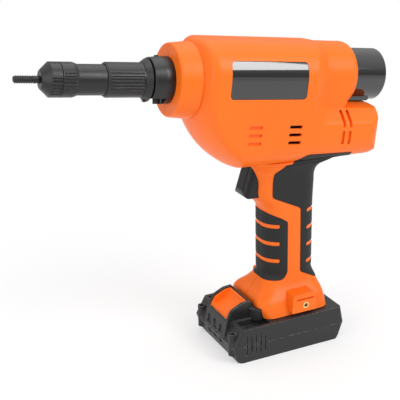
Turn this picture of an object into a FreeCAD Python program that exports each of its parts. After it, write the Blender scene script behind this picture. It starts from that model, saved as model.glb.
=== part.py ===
import FreeCAD, Part
import math
import os

# A hand held battery rivet nut tool, in millimetres. The origin is the middle of the battery's underside,
# +Z is up and +X runs to the rear, so the nose points to -X. The left side of the tool is at -Y.
# The barrel is built in its own frame, which lies tilted nose up: its x runs back along the spindle axis,
# and its z is the height above that axis.

# Places of the barrel and the motor axis
AXIS_HEIGHT = 230.3
NOSE_UP = 7.0
MOTOR_DROP = 37.5
COVER_RISE = 6.2

# Housing
WALL = 2.5
BODY_HALF = 37.5
BODY_TOP = 33.4
BODY_CORNER = 27.0
BODY_FRONT = -72.4
BODY_BOTTOM = 165.3
BODY_UNDER_CORNER = 19.0
BODY_BOTTOM_SLOPE = 2.8
BULGE_REAR = 92.0
BULGE_TOP = -17.5
BULGE_CREASE = -28.0
BULGE_CORNER = 12.0
BULGE_CROWN = 3.0
BARREL_HALF = 27.0
BARREL_REAR = 70.5
BARREL_END_ROUND = 6.5
SHOULDER_OUTER = 24.0
SHOULDER_INNER = 39.0
FRONT_ROUND = 8.0
SHOULDER_ROUND = 5.0
CHAMFER_REAR = -65.0
CHAMFER_R = 42.0
BELLY_REAR = -43.0
BELLY_R = 63.8
RING_FRONT = -90.4
RING_FRONT_R = 28.5
RING_REAR_R = 30.2
RING_SEAM_R = 29.4
SEAM = 0.25
SEAM_DEPTH = 0.5
POST_R = 5.2
SCREW_SHANK_R = 1.6
SCREW_HEAD_R = 3.3
SCREW_SEAT = 6.0

# Air slots and side plates, in the barrel's frame
VENT_ROWS = 3
VENT_TOP = -30.0
VENT_PITCH = 6.4
VENT_LENGTH = 11.8
MID_VENT = 1.9
BLIND_VENT = -34.4
BLIND_DEPTH = 1.6
MOTOR_VENT = 53.6
MOTOR_VENT_PITCH = 6.2
MOTOR_VENT_DEPTH = 2.0
PLATE_FRONT = -53.2
PLATE_REAR = 14.0
PLATE_LOW = -7.7
PLATE_HIGH = 20.8
PLATE_CORNER = 3.0
PLATE_SEAT = 1.6
PLATE_SUNK = 0.4

# Grip and foot
GRIP_FRONT = -9.0
GRIP_REAR = 38.6
GRIP_HALF = 18.0
GRIP_CORNER = 15.5
CHEEK_FRONT = -17.5
FOOT_BOTTOM = 31.4
FOOT_FRONT = -23.5
FOOT_REAR = 43.0
FOOT_HALF = 32.5
PAD_DEEP = 1.4
PAD_PROUD = 0.4
PAD_SLOT = 3.6
RAIL_INNER = 23.5
RAIL_LOW = 33.4
RAIL_HIGH = 36.6
HOOK_FACE = 36.0
INSERT_X = 16.7
INSERT_Z = 39.4
INSERT_R = 2.9
INSERT_BORE_R = 1.65
INSERT_DEPTH = 8.0

# Battery
PACK_FRONT = -49.0
PACK_REAR = 49.0
PACK_HALF = 38.0
PACK_SPLIT = 15.5
PACK_DECK = 30.6
PACK_BELLY = 3.0
HUMP_HALF = 26.0
HUMP_TOP = 39.6
HUMP_FRONT = -29.0
HUMP_REAR = 34.0
CELL_R = 9.1
CELL_LENGTH = 65.0
CELL_PITCH = 18.6
PACK_WALL = 2.0
FRAME_TOP = 21.5
BOARD_TOP = 23.1
ARCH_HALF = 19.0
ARCH_REAR = -27.5
BUTTON_FRONT = -50.0
BUTTON_REAR = -29.5
BUTTON_HALF = 16.0
SCOOP_HALF = 14.2
BUTTON_LOW = 29.0
BUTTON_TRAVEL = 3.0
TONGUE_HALF = 8.0
LUG_R = 3.6
LUG_X = -51.5
LUG_Y = 30.0
LUG_LOW = 6.0
LUG_HIGH = 26.0
TERMINAL_FRONT = 34.6
TERMINAL_REAR = 38.4
BLADE_PLACES = (-12.0, -6.0, 0.0, 6.0, 12.0)
BLADE_LOW = 33.4
BLADE_HIGH = 37.6
BLADE_HALF = 0.4
PANEL_PLACES = (-11.0, 0.0, 11.0)
PANEL_HALF = 3.8
PANEL_DEPTH = 0.9

# Nose, along the spindle axis from the tip
MANDREL_TIP = -209.8
MANDREL_R = 3.0
THREAD_REAR = -193.6
MANDREL_SHANK_R = 2.7
NOSE_TIP = -190.6
NOSE_TIP_R = 7.0
NOSE_SHOULDER = -184.2
NOSE_R = 13.1
NOSE_REAR = -176.3
LOCK_NUT_REAR = -164.2
TUBE_R = 11.65
SLEEVE_FRONT = -142.1
SLEEVE_R = 13.35
SLEEVE_REAR = -112.4
LOCK_RING_REAR = -107.6
LOCK_RING_R = 16.6
LOCK_RING_NECK_R = 14.4
LUG_TIP_R = 16.9
COLLAR_FRONT = -106.5
COLLAR_FRONT_R = 17.4
COLLAR_SWELL = -97.4
COLLAR_R = 18.3
COLLAR_FLAT = 14.0
COLLAR_FLAT_REAR = -95.8
SPIGOT_R = 16.5
TUBE_FRONT = -183.0
TUBE_REAR = -80.0
NOSE_GROOVES = 6
GROOVE_STEP = 11.0
GROOVE_R = 0.8
GROOVE_DEPTH = 0.75
SET_R = 1.6
SET_HEAD_R = 2.9
SET_HEAD_TOP = 18.2
SET_PROUD = 0.6
SET_PLACE = -99.3
SET_TURN = -11.0
MANDREL_HEAD = -150.0
MANDREL_HEAD_R = 6.2
MANDREL_HEAD_LONG = 7.0

# Spindle, screw and nut
SPINDLE_R = 8.8
SPINDLE_FRONT = -160.0
SCREW_FRONT = -66.0
SCREW_R = 7.0
SCREW_REAR = 84.0
STROKE = 9.0
NUT_R = 13.0
NUT_FRONT = -48.0
NUT_REAR = 20.0
JOURNAL_R = 11.0
PIN_R = 2.0
PIN_PLACE = -77.0
PIN_REACH = 13.0
THRUST_BALL_R = 2.0
THRUST_BALLS = 14
RUNNING = 0.06
CLEAR = 0.3

# Gears
DRIVE_TEETH = 48
OUTPUT_TEETH = 27
SPUR_MODULE = 2 * MOTOR_DROP / (DRIVE_TEETH + OUTPUT_TEETH)
GEAR_FRONT = -4.0
GEAR_WIDTH = 11.0
SUN_TEETH = 12
PLANET_TEETH = 18
RING_TEETH = SUN_TEETH + 2 * PLANET_TEETH
FINE_MODULE = 0.6
PLANET_FRONT = 14.0
PLANET_WIDTH = 7.0
PLANETS = 3
PLANET_PIN_R = 1.5
RING_GEAR_R = 17.5
OUTPUT_SHAFT_R = 4.0
CASE_FRONT = -62.0
CASE_R = 20.0
CASE_FLANGE_R = 28.5
GEARBOX_R = 19.5
CASE_EAR_RING = 28.8
CASE_EAR_R = 3.4
CASE_EARS = (30, 150, -25, 205)

# Motor
MOTOR_R = 17.0
MOTOR_FRONT = 31.0
MOTOR_LENGTH = 52.0
SHAFT_R = 1.6

# Rear cover
COVER_R = 21.7
COVER_FRONT = 62.0
COVER_REAR = 100.3
COVER_WALL = 2.2

# Trigger
TRIGGER_HALF = 10.5
TRIGGER_TRAVEL = 6.0
TRIGGER_LOW = 134.8
TRIGGER_REAR = -4.0
PLUNGER_R = 2.2
SWITCH_FRONT = 8.0
SWITCH_REAR = 32.0
SWITCH_HALF = 9.0
SWITCH_LOW = 133.8
SWITCH_HIGH = 158.0
BOARD_HALF = 6.0

V = FreeCAD.Vector
X, Y, Z = V(1, 0, 0), V(0, 1, 0), V(0, 0, 1)
TILT = FreeCAD.Placement(V(0, 0, AXIS_HEIGHT), FreeCAD.Rotation(Y, NOSE_UP))
FAR = 300.0


def tilted(shape):
    """A shape from the barrel's frame, placed on the tool."""
    placed = shape.copy()
    placed.Placement = TILT.multiply(placed.Placement)
    return placed


def untilted(shape):
    """A shape from the tool's frame, seen in the barrel's."""
    placed = shape.copy()
    placed.Placement = TILT.inverse().multiply(placed.Placement)
    return placed


def box(x0, x1, y0, y1, z0, z1):
    """A block between two corners."""
    return Part.makeBox(x1 - x0, y1 - y0, z1 - z0, V(x0, y0, z0))


def rod(start, end, radius, y=0.0, z=0.0):
    """A round bar along x."""
    return Part.makeCylinder(radius, end - start, V(start, y, z), X)


def pipe(start, end, outer, inner, y=0.0, z=0.0):
    """A round tube along x."""
    return rod(start, end, outer, y, z).cut(rod(start - 1, end + 1, inner, y, z))


def cross_rod(x, z, y0, y1, radius):
    """A round bar along y."""
    return Part.makeCylinder(radius, y1 - y0, V(x, y0, z), Y)


def rounded(corners, place):
    """A closed wire through corners (a, b, radius), each rounded. place turns a, b into a point."""
    edges = []
    ends = []
    count = len(corners)
    for i, (a, b, radius) in enumerate(corners):
        before = V(corners[i - 1][0] - a, corners[i - 1][1] - b, 0)
        after = V(corners[(i + 1) % count][0] - a, corners[(i + 1) % count][1] - b, 0)
        before.normalize()
        after.normalize()
        at = V(a, b, 0)
        if radius <= 0:
            ends.append((at, None, at))
            continue
        half = before.getAngle(after) / 2
        back = radius / math.tan(half)
        middle = before + after
        middle.normalize()
        centre = at + middle * (radius / math.sin(half))
        ends.append((at + before * back, centre - middle * radius, at + after * back))
    for i, (first, middle, last) in enumerate(ends):
        first, last = place(first.x, first.y), place(last.x, last.y)
        if middle is not None:
            edges.append(Part.Arc(first, place(middle.x, middle.y), last).toShape())
        follow = ends[(i + 1) % count][0]
        follow = place(follow.x, follow.y)
        if last.distanceToPoint(follow) > 1e-6:
            edges.append(Part.LineSegment(last, follow).toShape())
    return Part.Wire(Part.__sortEdges__(edges))


def side_plate(corners, y0, y1):
    """A plate whose side view is the rounded outline of corners (x, z, radius)."""
    face = Part.Face(rounded(corners, lambda a, b: V(a, y0, b)))
    return face.extrude(V(0, y1 - y0, 0))


def front_plate(corners, x0, x1):
    """A plate whose front view is the rounded outline of corners (y, z, radius)."""
    face = Part.Face(rounded(corners, lambda a, b: V(x0, a, b)))
    return face.extrude(V(x1 - x0, 0, 0))


def top_plate(corners, z0, z1):
    """A plate whose top view is the rounded outline of corners (x, y, radius)."""
    face = Part.Face(rounded(corners, lambda a, b: V(a, b, z0)))
    return face.extrude(V(0, 0, z1 - z0))


def turned(corners, z=0.0):
    """A solid turned about the barrel's x axis, or one z above it, from corners (x, r, radius)."""
    face = Part.Face(rounded(corners, lambda a, b: V(a, 0, b + z)))
    return face.revolve(V(0, 0, z), X, 360)


def level_wire(x0, x1, half, radius, z):
    """A rounded rectangle at one height."""
    radius = min(radius, half - 0.2, (x1 - x0) / 2 - 0.2)
    corners = [(x0, -half, radius), (x1, -half, radius), (x1, half, radius), (x0, half, radius)]
    return rounded(corners, lambda a, b: V(a, b, z))


def fused(first, *others):
    """One shape from several, with its inner seams removed."""
    return first.fuse(list(others)).removeSplitter()


def mirrored(shape):
    """The same shape on the other side of the tool."""
    return shape.mirror(V(0, 0, 0), Y)


def both_sides(shape):
    """A shape and its mirror image as one."""
    return shape.fuse(mirrored(shape))


def around(shape, count, z=0.0, start=0.0):
    """Copies of a shape spaced evenly around the barrel's x axis, or one z above it."""
    copies = []
    for i in range(count):
        copy = shape.copy()
        copy.rotate(V(0, 0, z), X, start + 360 * i / count)
        copies.append(copy)
    return copies


# Housing surface: each of these shapes grows by skin on every side, so walls and pads follow one surface


def dome(skin):
    """The turned front of the body: a chamfer behind the ring, the belly's round, then its long slope."""
    grow = 0.7 * skin
    start = V(BODY_FRONT - skin, 0, RING_SEAM_R)
    chamfer = V(CHAMFER_REAR - grow, 0, CHAMFER_R + grow)
    belly = V(BELLY_REAR - grow, 0, BELLY_R + grow)
    along = chamfer - start
    along.normalize()
    across = V(along.z, 0, -along.x)
    chord = belly - chamfer
    bend = chord.dot(chord) / (2 * chord.dot(across))
    centre = chamfer + across * bend
    middle = (chamfer + belly) * 0.5 - centre
    middle.normalize()
    arc = Part.Arc(chamfer, centre + middle * bend, belly)
    leave = V(centre.z - belly.z, 0, belly.x - centre.x)
    leave.normalize()
    if leave.x < 0:
        leave = leave * -1
    edges = [
        Part.LineSegment(V(start.x, 0, 0), start),
        Part.LineSegment(start, chamfer),
        arc,
        Part.LineSegment(belly, belly + leave * FAR),
        Part.LineSegment(belly + leave * FAR, V(FAR, 0, 0)),
        Part.LineSegment(V(FAR, 0, 0), V(start.x, 0, 0)),
    ]
    return Part.Face(Part.Wire([edge.toShape() for edge in edges])).revolve(V(), X, 360)


def shoulder_pocket(skin):
    """What the body gives up behind its shoulders: a cone above, a bevel beside the motor bulge."""
    slope = (SHOULDER_INNER - SHOULDER_OUTER) / (BODY_HALF - BARREL_HALF)
    drop = (BULGE_TOP - BULGE_CREASE) / (BODY_HALF - BARREL_HALF)
    inner = BARREL_HALF + skin
    deep = BODY_HALF - BARREL_HALF + 4
    start = SHOULDER_INNER + skin

    def outline(y, out):
        x0 = start - slope * out
        z0 = BULGE_TOP - drop * out + skin
        corners = [(x0, z0, 7.0 + 0.5 * out), (FAR, z0, 0), (FAR, COVER_RISE, 0), (x0, COVER_RISE, 0)]
        return rounded(corners, lambda a, b: V(a, y, b))

    flare = Part.makeLoft([outline(inner, 0), outline(inner + deep, deep)], True, True)
    middle = Part.Face(outline(-inner, 0)).extrude(V(0, 2 * inner, 0))
    crown_r = (inner ** 2 + BULGE_CROWN ** 2) / (2 * BULGE_CROWN)
    middle = middle.cut(rod(0, FAR, crown_r, 0, BULGE_TOP + skin + BULGE_CROWN - crown_r))
    reach = 40.0
    corners = [(start, 0, 0), (start, inner, 0), (start - slope * reach, inner + reach, 0),
               (start - slope * reach, FAR, 0), (FAR, FAR, 0), (FAR, 0, 0)]
    upper = turned(corners, COVER_RISE).common(box(-FAR, FAR, -FAR, FAR, COVER_RISE, FAR))
    return fused(middle, flare, mirrored(flare), upper)


def barrel_core(skin):
    """The upper barrel behind the shoulders: round above, with straight sides down to the bulge."""
    half = BARREL_HALF + skin
    shape = rod(10, FAR, half, 0, COVER_RISE)
    shape = fused(shape, box(10, FAR, -half, half, BULGE_TOP - 4, COVER_RISE))
    end = BARREL_REAR + skin
    bend = BARREL_END_ROUND + skin
    edges = [
        Part.LineSegment(V(0, 0, 0), V(0, 0, FAR)),
        Part.LineSegment(V(0, 0, FAR), V(end - bend - 8, 0, half + 12)),
        Part.LineSegment(V(end - bend - 8, 0, half + 12), V(end - bend, 0, half)),
        Part.Arc(V(end - bend, 0, half), V(end - bend + bend * 0.7071, 0, half - bend * 0.2929),
                 V(end, 0, half - bend)),
        Part.LineSegment(V(end, 0, half - bend), V(end, 0, 0)),
        Part.LineSegment(V(end, 0, 0), V(0, 0, 0)),
    ]
    cap = Part.Face(Part.Wire([edge.toShape() for edge in edges])).revolve(V(), X, 360)
    cap.translate(V(0, 0, COVER_RISE))
    return shape.common(cap)


def edges_where(shape, test):
    """The edges of a shape whose every sampled point passes the test."""
    return [edge for edge in shape.Edges if all(test(point) for point in edge.discretize(5))]


def body(skin):
    """The upper body with the motor bulge, in the tool's frame, its creases rounded on the outside only."""
    half = BODY_HALF + skin
    top = BODY_TOP + skin
    corner = BODY_CORNER + skin
    section = [(-half, -FAR, 0), (-half, top, corner), (half, top, corner), (half, -FAR, 0)]
    main = front_plate(section, BODY_FRONT - skin, BULGE_REAR + skin).common(dome(skin)).removeSplitter()
    if skin == 0:
        high = top - corner - 0.01

        def crease(point):
            on_skin = abs(abs(point.y) - half) < 0.01 or point.z > high
            return on_skin and BODY_FRONT + 1 - skin < point.x < 80

        creases = [edge for edge in edges_where(main, crease) if edge.BoundBox.XLength < 100]
        main = main.makeFillet(FRONT_ROUND, creases)
    rear = BULGE_REAR + skin
    plan = [(-FAR, -half, 0), (rear, -half, BULGE_CORNER + skin), (rear, half, BULGE_CORNER + skin),
            (-FAR, half, 0)]
    high = BULGE_TOP + BULGE_CROWN + skin
    side = [(-FAR, FAR, 0), (60, FAR, 0), (60, high, 0), (rear, high, 7), (rear, -47, 8), (82, -62, 6),
            (60, -FAR, 0), (-FAR, -FAR, 0)]
    main = main.common(top_plate(plan, -FAR, FAR)).common(side_plate(side, -FAR, FAR))
    bottom = BODY_BOTTOM - skin
    under = [(-half, FAR * 2, 0), (-half, bottom, BODY_UNDER_CORNER + skin),
             (half, bottom, BODY_UNDER_CORNER + skin), (half, FAR * 2, 0)]
    keel = front_plate(under, -FAR, FAR)
    keel.rotate(V(20, 0, BODY_BOTTOM), Y, BODY_BOTTOM_SLOPE)
    main = main.common(untilted(keel))
    shape = fused(main.cut(shoulder_pocket(skin)), barrel_core(skin))
    if skin == 0:

        def shoulder(point):
            behind = 15 < point.x and point.z > BULGE_CREASE - 0.1
            on_cone = point.x < SHOULDER_INNER - 0.5 and point.z > COVER_RISE
            return behind and (abs(abs(point.y) - half) < 0.02 or on_cone)

        shape = shape.makeFillet(SHOULDER_ROUND, edges_where(shape, shoulder))
    return tilted(shape)


def front_ring(skin):
    """The drum at the front of the body that the nose is bolted through."""
    front = RING_FRONT - skin
    corners = [(front, 0, 0), (front, RING_FRONT_R + skin, 1.6), (-74.2, RING_REAR_R + skin, 0),
               (-73.4, RING_REAR_R + skin, 0), (-72.8, RING_SEAM_R + skin, 0),
               (BODY_FRONT + 6, RING_SEAM_R + skin, 0), (BODY_FRONT + 6, 0, 0)]
    return tilted(turned(corners))


def column(levels, skin):
    """A smooth column through levels (z, front, rear, half width, corner)."""
    wires = []
    for z, front, rear, half, radius in levels:
        wires.append(level_wire(front - skin, rear + skin, half + skin, radius + skin, z))
    return Part.makeLoft(wires, True, False)


def grip(skin):
    """Grip, the throat above it and the foot below it, open to the body and to the battery."""
    straight = (GRIP_FRONT, GRIP_REAR, GRIP_HALF, GRIP_CORNER)
    throat = [
        (114, *straight),
        (119, *straight),
        (124, -10.0, GRIP_REAR, GRIP_HALF, 15.3),
        (128.5, -13.0, GRIP_REAR, 18, 15),
        (133, -16.4, GRIP_REAR, 18, 14.5),
        (138, -17.8, GRIP_REAR, 18, 14),
        (143, CHEEK_FRONT, GRIP_REAR + 0.1, 18.3, 14),
        (149, CHEEK_FRONT, 38.9, 19, 15),
        (153.5, -18.5, 39.8, 20, 15.5),
        (157, -20.0, 42.2, 21, 16.5),
        (160, -21.5, 47.5, 22.5, 18),
        (162.6, -23.2, 56.5, 24, 19),
        (165, -24.6, 66.5, 25.5, 20),
        (168, -26.0, 76.0, 27, 21),
    ]
    foot = [
        (FOOT_BOTTOM, FOOT_FRONT + 3.0, FOOT_REAR, FOOT_HALF, 9),
        (36, FOOT_FRONT + 1.0, FOOT_REAR - 0.3, FOOT_HALF - 1.6, 9),
        (43, FOOT_FRONT, FOOT_REAR - 1.0, 28.6, 9.5),
        (50, -17.0, FOOT_REAR - 2.0, 23.2, 11),
        (57, -11.5, GRIP_REAR + 1.0, 19.3, 13.5),
        (62, *straight),
        (66, *straight),
    ]
    middle = [(66, *straight), (114, *straight)]
    return fused(column(foot, skin), column(middle, skin), column(throat, skin))


def hook_boss(skin):
    """The block on each side of the foot that a belt hook is screwed to."""
    corners = [(3.0 - skin, 33.6 - skin, 1.5), (27.5 + skin, 33.6 - skin, 1.5),
               (25.5 + skin, 50.5 + skin, 2), (4.0 - skin, 50.5 + skin, 2)]
    outer = side_plate(corners, -36.2 - skin, -18)
    return both_sides(outer)


def surface(skin):
    """The whole outside of the housing, grown by skin."""
    return fused(body(skin), front_ring(skin), grip(skin), hook_boss(skin))


def flank(skin):
    """The long straight section of the body alone, which the side plates follow."""
    half, top, corner = BODY_HALF + skin, BODY_TOP + skin, BODY_CORNER + skin
    return tilted(front_plate([(-half, -40, 0), (-half, top, corner), (half, top, corner),
                               (half, -40, 0)], -62, 22))


def slanted_slot(x0, x1, z, y0, y1):
    """A short vent slot with slanted ends, cut from y0 to y1."""
    lean, high = 0.35, 1.3
    corners = [(x0 - lean, z - high, 0.8), (x1 - lean, z - high, 0.8), (x1 + lean, z + high, 0.8),
               (x0 + lean, z + high, 0.8)]
    return side_plate(corners, y0, y1)


def vents():
    """The air slots of the left side: three open above the grip, three blind ahead of them, the motor's."""
    cuts = []
    for i in range(VENT_ROWS):
        z = VENT_TOP - i * VENT_PITCH
        cuts.append(slanted_slot(MID_VENT, MID_VENT + VENT_LENGTH, z, -FAR, -20))
        cuts.append(slanted_slot(BLIND_VENT, BLIND_VENT + VENT_LENGTH, z, -FAR, BLIND_DEPTH - BODY_HALF))
    motor = body(-MOTOR_VENT_DEPTH)
    for x in (MOTOR_VENT, MOTOR_VENT + MOTOR_VENT_PITCH):
        for low, high in ((-31.2, -18.6), (-45.4, -34.0)):
            corners = [(x - 1.4, low, 1.3), (x + 1.4, low, 1.3), (x + 1.4, high, 1.3), (x - 1.4, high, 1.3)]
            cuts.append(tilted(side_plate(corners, -FAR, -20)).cut(motor))
    return Part.makeCompound([tilted(cut) if i < 2 * VENT_ROWS else cut for i, cut in enumerate(cuts)])


def plate_outline(gap):
    """The rounded outline of a side plate, grown by a gap."""
    x0, x1, z0, z1 = PLATE_FRONT - gap, PLATE_REAR + gap, PLATE_LOW - gap, PLATE_HIGH + gap
    corner = PLATE_CORNER + gap
    return tilted(side_plate([(x0, z0, corner), (x1, z0, corner), (x1, z1, corner), (x0, z1, corner)],
                             -FAR, -10))


def pad_outline(y0, y1):
    """Front and rear grip pads in side view, without the slots that the housing shows through."""
    front = side_plate([(-60, 143.4, 0), (-60, 58.0, 0), (8.4, 59.0, 8), (8.4, 111.4, 3),
                        (3.0, 115.0, 2)], y0, y1)
    rear = side_plate([(60.5, 168.8, 0.6), (66, 153, 0), (90, 130, 0), (90, 52, 0), (38, 54, 0),
                       (21.2, 62.9, 3), (21.0, 121.8, 4),
                       (-6.2, 135.2, 4), (-6.4, 157.0, 4), (17.0, 173.8, 6)], y0, y1)
    for i in range(3):
        z = 76.4 + 15.8 * i
        front = front.cut(side_plate([(-61, z - PAD_SLOT / 2, 0), (1.4, z - PAD_SLOT / 2, 1.7),
                                      (1.4, z + PAD_SLOT / 2, 1.7), (-61, z + PAD_SLOT / 2, 0)], y0, y1))
    for i in range(4):
        z = 71.4 + 15.7 * i
        rear = rear.cut(side_plate([(91, z - PAD_SLOT / 2, 0), (91, z + PAD_SLOT / 2, 0),
                                    (27.0, z + PAD_SLOT / 2, 1.7), (27.0, z - PAD_SLOT / 2, 1.7)], y0, y1))
    return front, rear


def screw_places():
    """Places (x, z) of the screws that hold the halves together: three in the body, five down the grip."""
    places = []
    for x, z in ((-62.0, 26.5), (50.0, 26.0), (-48.0, -49.0)):
        point = TILT.multVec(V(x, 0, z))
        places.append((point.x, point.z))
    return places + [(19.0, 163.8), (15.5, 119.5), (15.5, 65.5), (-4.5, 50.5), (32.0, 51.0)]


def housing():
    """Both halves as nodes: the shell, its posts and ribs, and the cuts for all that it holds and shows."""
    outside = surface(0)
    inside = surface(-WALL)
    posts = [cross_rod(x, z, -60, 60, POST_R) for x, z in screw_places()]
    posts.append(cross_rod(INSERT_X, INSERT_Z, -60, 1.6 - PACK_HALF + 10,
                           5).fuse(cross_rod(INSERT_X, INSERT_Z, PACK_HALF - 11.6, 60, 5)))
    whole_section = (-60, 60, -90, 60)
    ribs = [tilted(box(x, x + 2, *whole_section)) for x in (-78, -54, -24, 44, 66)]
    ribs.append(box(6, 38, -60, 60, 131.5, 133.5))
    ribs.append(box(16, 18, -60, 60, 128, 162))
    ribs.append(box(TERMINAL_REAR, TERMINAL_REAR + 4, -16, 16, RAIL_LOW, 44))
    for x in (10, 25):
        for z in (80, 106):
            ribs.append(cross_rod(x, z, -60, 60, 2.0))
    rail = box(-14, 38, RAIL_INNER, 60, RAIL_LOW, RAIL_HIGH)
    hollow = inside.cut(posts + ribs + [rail, mirrored(rail)])
    shell = outside.cut(hollow)

    cuts = []
    cuts.append(tilted(rod(RING_FRONT - 5, -50, SPIGOT_R + RUNNING)))
    cuts.append(tilted(rod(-70, 8, CASE_R + CLEAR)))
    cuts.append(tilted(rod(GEAR_FRONT - 6, 16, CASE_FLANGE_R + CLEAR)))
    cuts.append(tilted(rod(GEAR_FRONT - 6, MOTOR_FRONT + 1, GEARBOX_R + CLEAR, 0, -MOTOR_DROP)))
    cuts.append(tilted(rod(MOTOR_FRONT - 2, MOTOR_FRONT + MOTOR_LENGTH + 1, MOTOR_R + CLEAR, 0, -MOTOR_DROP)))
    cuts.append(tilted(rod(MOTOR_FRONT, MOTOR_FRONT + MOTOR_LENGTH + 5, 9, 0, -MOTOR_DROP)))
    cuts.append(tilted(rod(10, 72, 12)))
    cuts.append(tilted(rod(COVER_FRONT - 3, COVER_REAR, COVER_R + 0.15, 0, COVER_RISE)))
    cuts.append(tilted(rod(COVER_FRONT - 3, COVER_FRONT + 3.2, COVER_R + 2.4 + CLEAR, 0, COVER_RISE)))
    cuts.append(box(-60, 7, -TRIGGER_HALF - CLEAR, TRIGGER_HALF + CLEAR, TRIGGER_LOW - CLEAR, 168.0))
    cuts.append(box(SWITCH_FRONT - 3, SWITCH_REAR + CLEAR, -SWITCH_HALF - CLEAR, SWITCH_HALF + CLEAR,
                    SWITCH_LOW - CLEAR, SWITCH_HIGH + CLEAR))
    cuts.append(box(2, 30, -BOARD_HALF, BOARD_HALF, 74, 112))
    cuts.append(box(-60, TERMINAL_REAR, -HUMP_HALF - 0.6, HUMP_HALF + 0.6, 25, RAIL_LOW))
    cuts.append(box(-60, -17, -HUMP_HALF - 0.6, HUMP_HALF + 0.6, 25, HUMP_TOP + 0.5))
    for x, z in screw_places():
        cuts.append(cross_rod(x, z, -SCREW_SEAT - 4, SCREW_SEAT + 1, SCREW_SHANK_R + 0.05))
        cuts.append(cross_rod(x, z, SCREW_SEAT, FAR, SCREW_HEAD_R + CLEAR))
    cuts.append(cross_rod(INSERT_X, INSERT_Z, -FAR, INSERT_DEPTH - HOOK_FACE, INSERT_R))
    cuts.append(cross_rod(INSERT_X, INSERT_Z, HOOK_FACE - INSERT_DEPTH, FAR, INSERT_R))
    hook_slot = box(7.5, 24.5, -FAR, 1.8 - HOOK_FACE, 44.7, 46.1)
    cuts += [hook_slot, mirrored(hook_slot)]
    cuts += vents().Solids + mirrored(vents()).Solids
    recess = plate_outline(0.2).cut(flank(-PLATE_SEAT))
    cuts += [recess, mirrored(recess)]
    under_pads = surface(-PAD_DEEP)
    over_pads = surface(PAD_PROUD)
    outlines = pad_outline(-FAR, FAR)
    for pad in outlines:
        cuts.append(pad.cut(under_pads))
    cuts.append(box(-FAR, FAR, -SEAM, SEAM, -FAR, FAR).cut(surface(-SEAM_DEPTH)))
    shell = shell.cut(cuts)

    nodes = {}
    nodes["housing_left"] = biggest(shell.common(box(-FAR, FAR, -FAR, 0, -FAR, FAR)))
    nodes["housing_right"] = biggest(shell.common(box(-FAR, FAR, 0, FAR, -FAR, FAR)))
    bores = [cross_rod(x, z, SCREW_SEAT, FAR, SCREW_HEAD_R + CLEAR) for x, z in screw_places()]
    coat = over_pads.cut(under_pads).cut(bores)
    for name, y0, y1 in (("grip_pads_left", -FAR, -SEAM), ("grip_pads_right", SEAM, FAR)):
        pads = [biggest(coat.common(pad)) for pad in pad_outline(y0, y1)]
        nodes[name] = Part.makeCompound(pads)
    plate = plate_outline(0).common(flank(-PLATE_SUNK)).cut(flank(-PLATE_SEAT))
    nodes["side_plate_left"] = plate
    nodes["side_plate_right"] = mirrored(plate)
    screws = []
    inserts = []
    for x, z in screw_places():
        screw = fused(cross_rod(x, z, -SCREW_SEAT - 3, SCREW_SEAT + 0.5, SCREW_SHANK_R),
                      cross_rod(x, z, SCREW_SEAT, SCREW_SEAT + 2.6, SCREW_HEAD_R))
        screws.append(screw.cut(cross_rod(x, z, SCREW_SEAT + 1.2, SCREW_SEAT + 3, 1.1)))
    nodes["housing_screws"] = Part.makeCompound(screws)
    insert = cross_rod(INSERT_X, INSERT_Z, -HOOK_FACE, INSERT_DEPTH - HOOK_FACE, INSERT_R)
    insert = insert.cut(cross_rod(INSERT_X, INSERT_Z, -HOOK_FACE - 1, INSERT_DEPTH - 1 - HOOK_FACE,
                                  INSERT_BORE_R))
    nodes["hook_inserts"] = Part.makeCompound([insert, mirrored(insert)])
    return nodes


def biggest(shape):
    """The largest solid of a shape, which leaves behind crumbs of a cut."""
    return max(shape.Solids, key=lambda solid: solid.Volume)


def grouped(groove, start):
    """Three groups of grooves around the barrel's x axis, with plain bands for a wrench between them."""
    copies = []
    for group in range(3):
        for i in range(NOSE_GROOVES):
            copy = groove.copy()
            copy.rotate(V(), X, 90 + start + 120 * group + GROOVE_STEP * i)
            copies.append(copy)
    return copies


def groove_rod(start, end, radius):
    """What one groove takes from a nose part of the given radius."""
    return rod(start, end, GROOVE_R, 0, radius + GROOVE_R - GROOVE_DEPTH)


def spoke(radius, start, end, turn):
    """A set screw's bar between two distances from the barrel's axis, turned from straight down."""
    bar = Part.makeCylinder(radius, end - start, V(SET_PLACE, 0, -start), -Z)
    bar.rotate(V(), X, turn)
    return bar


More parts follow.
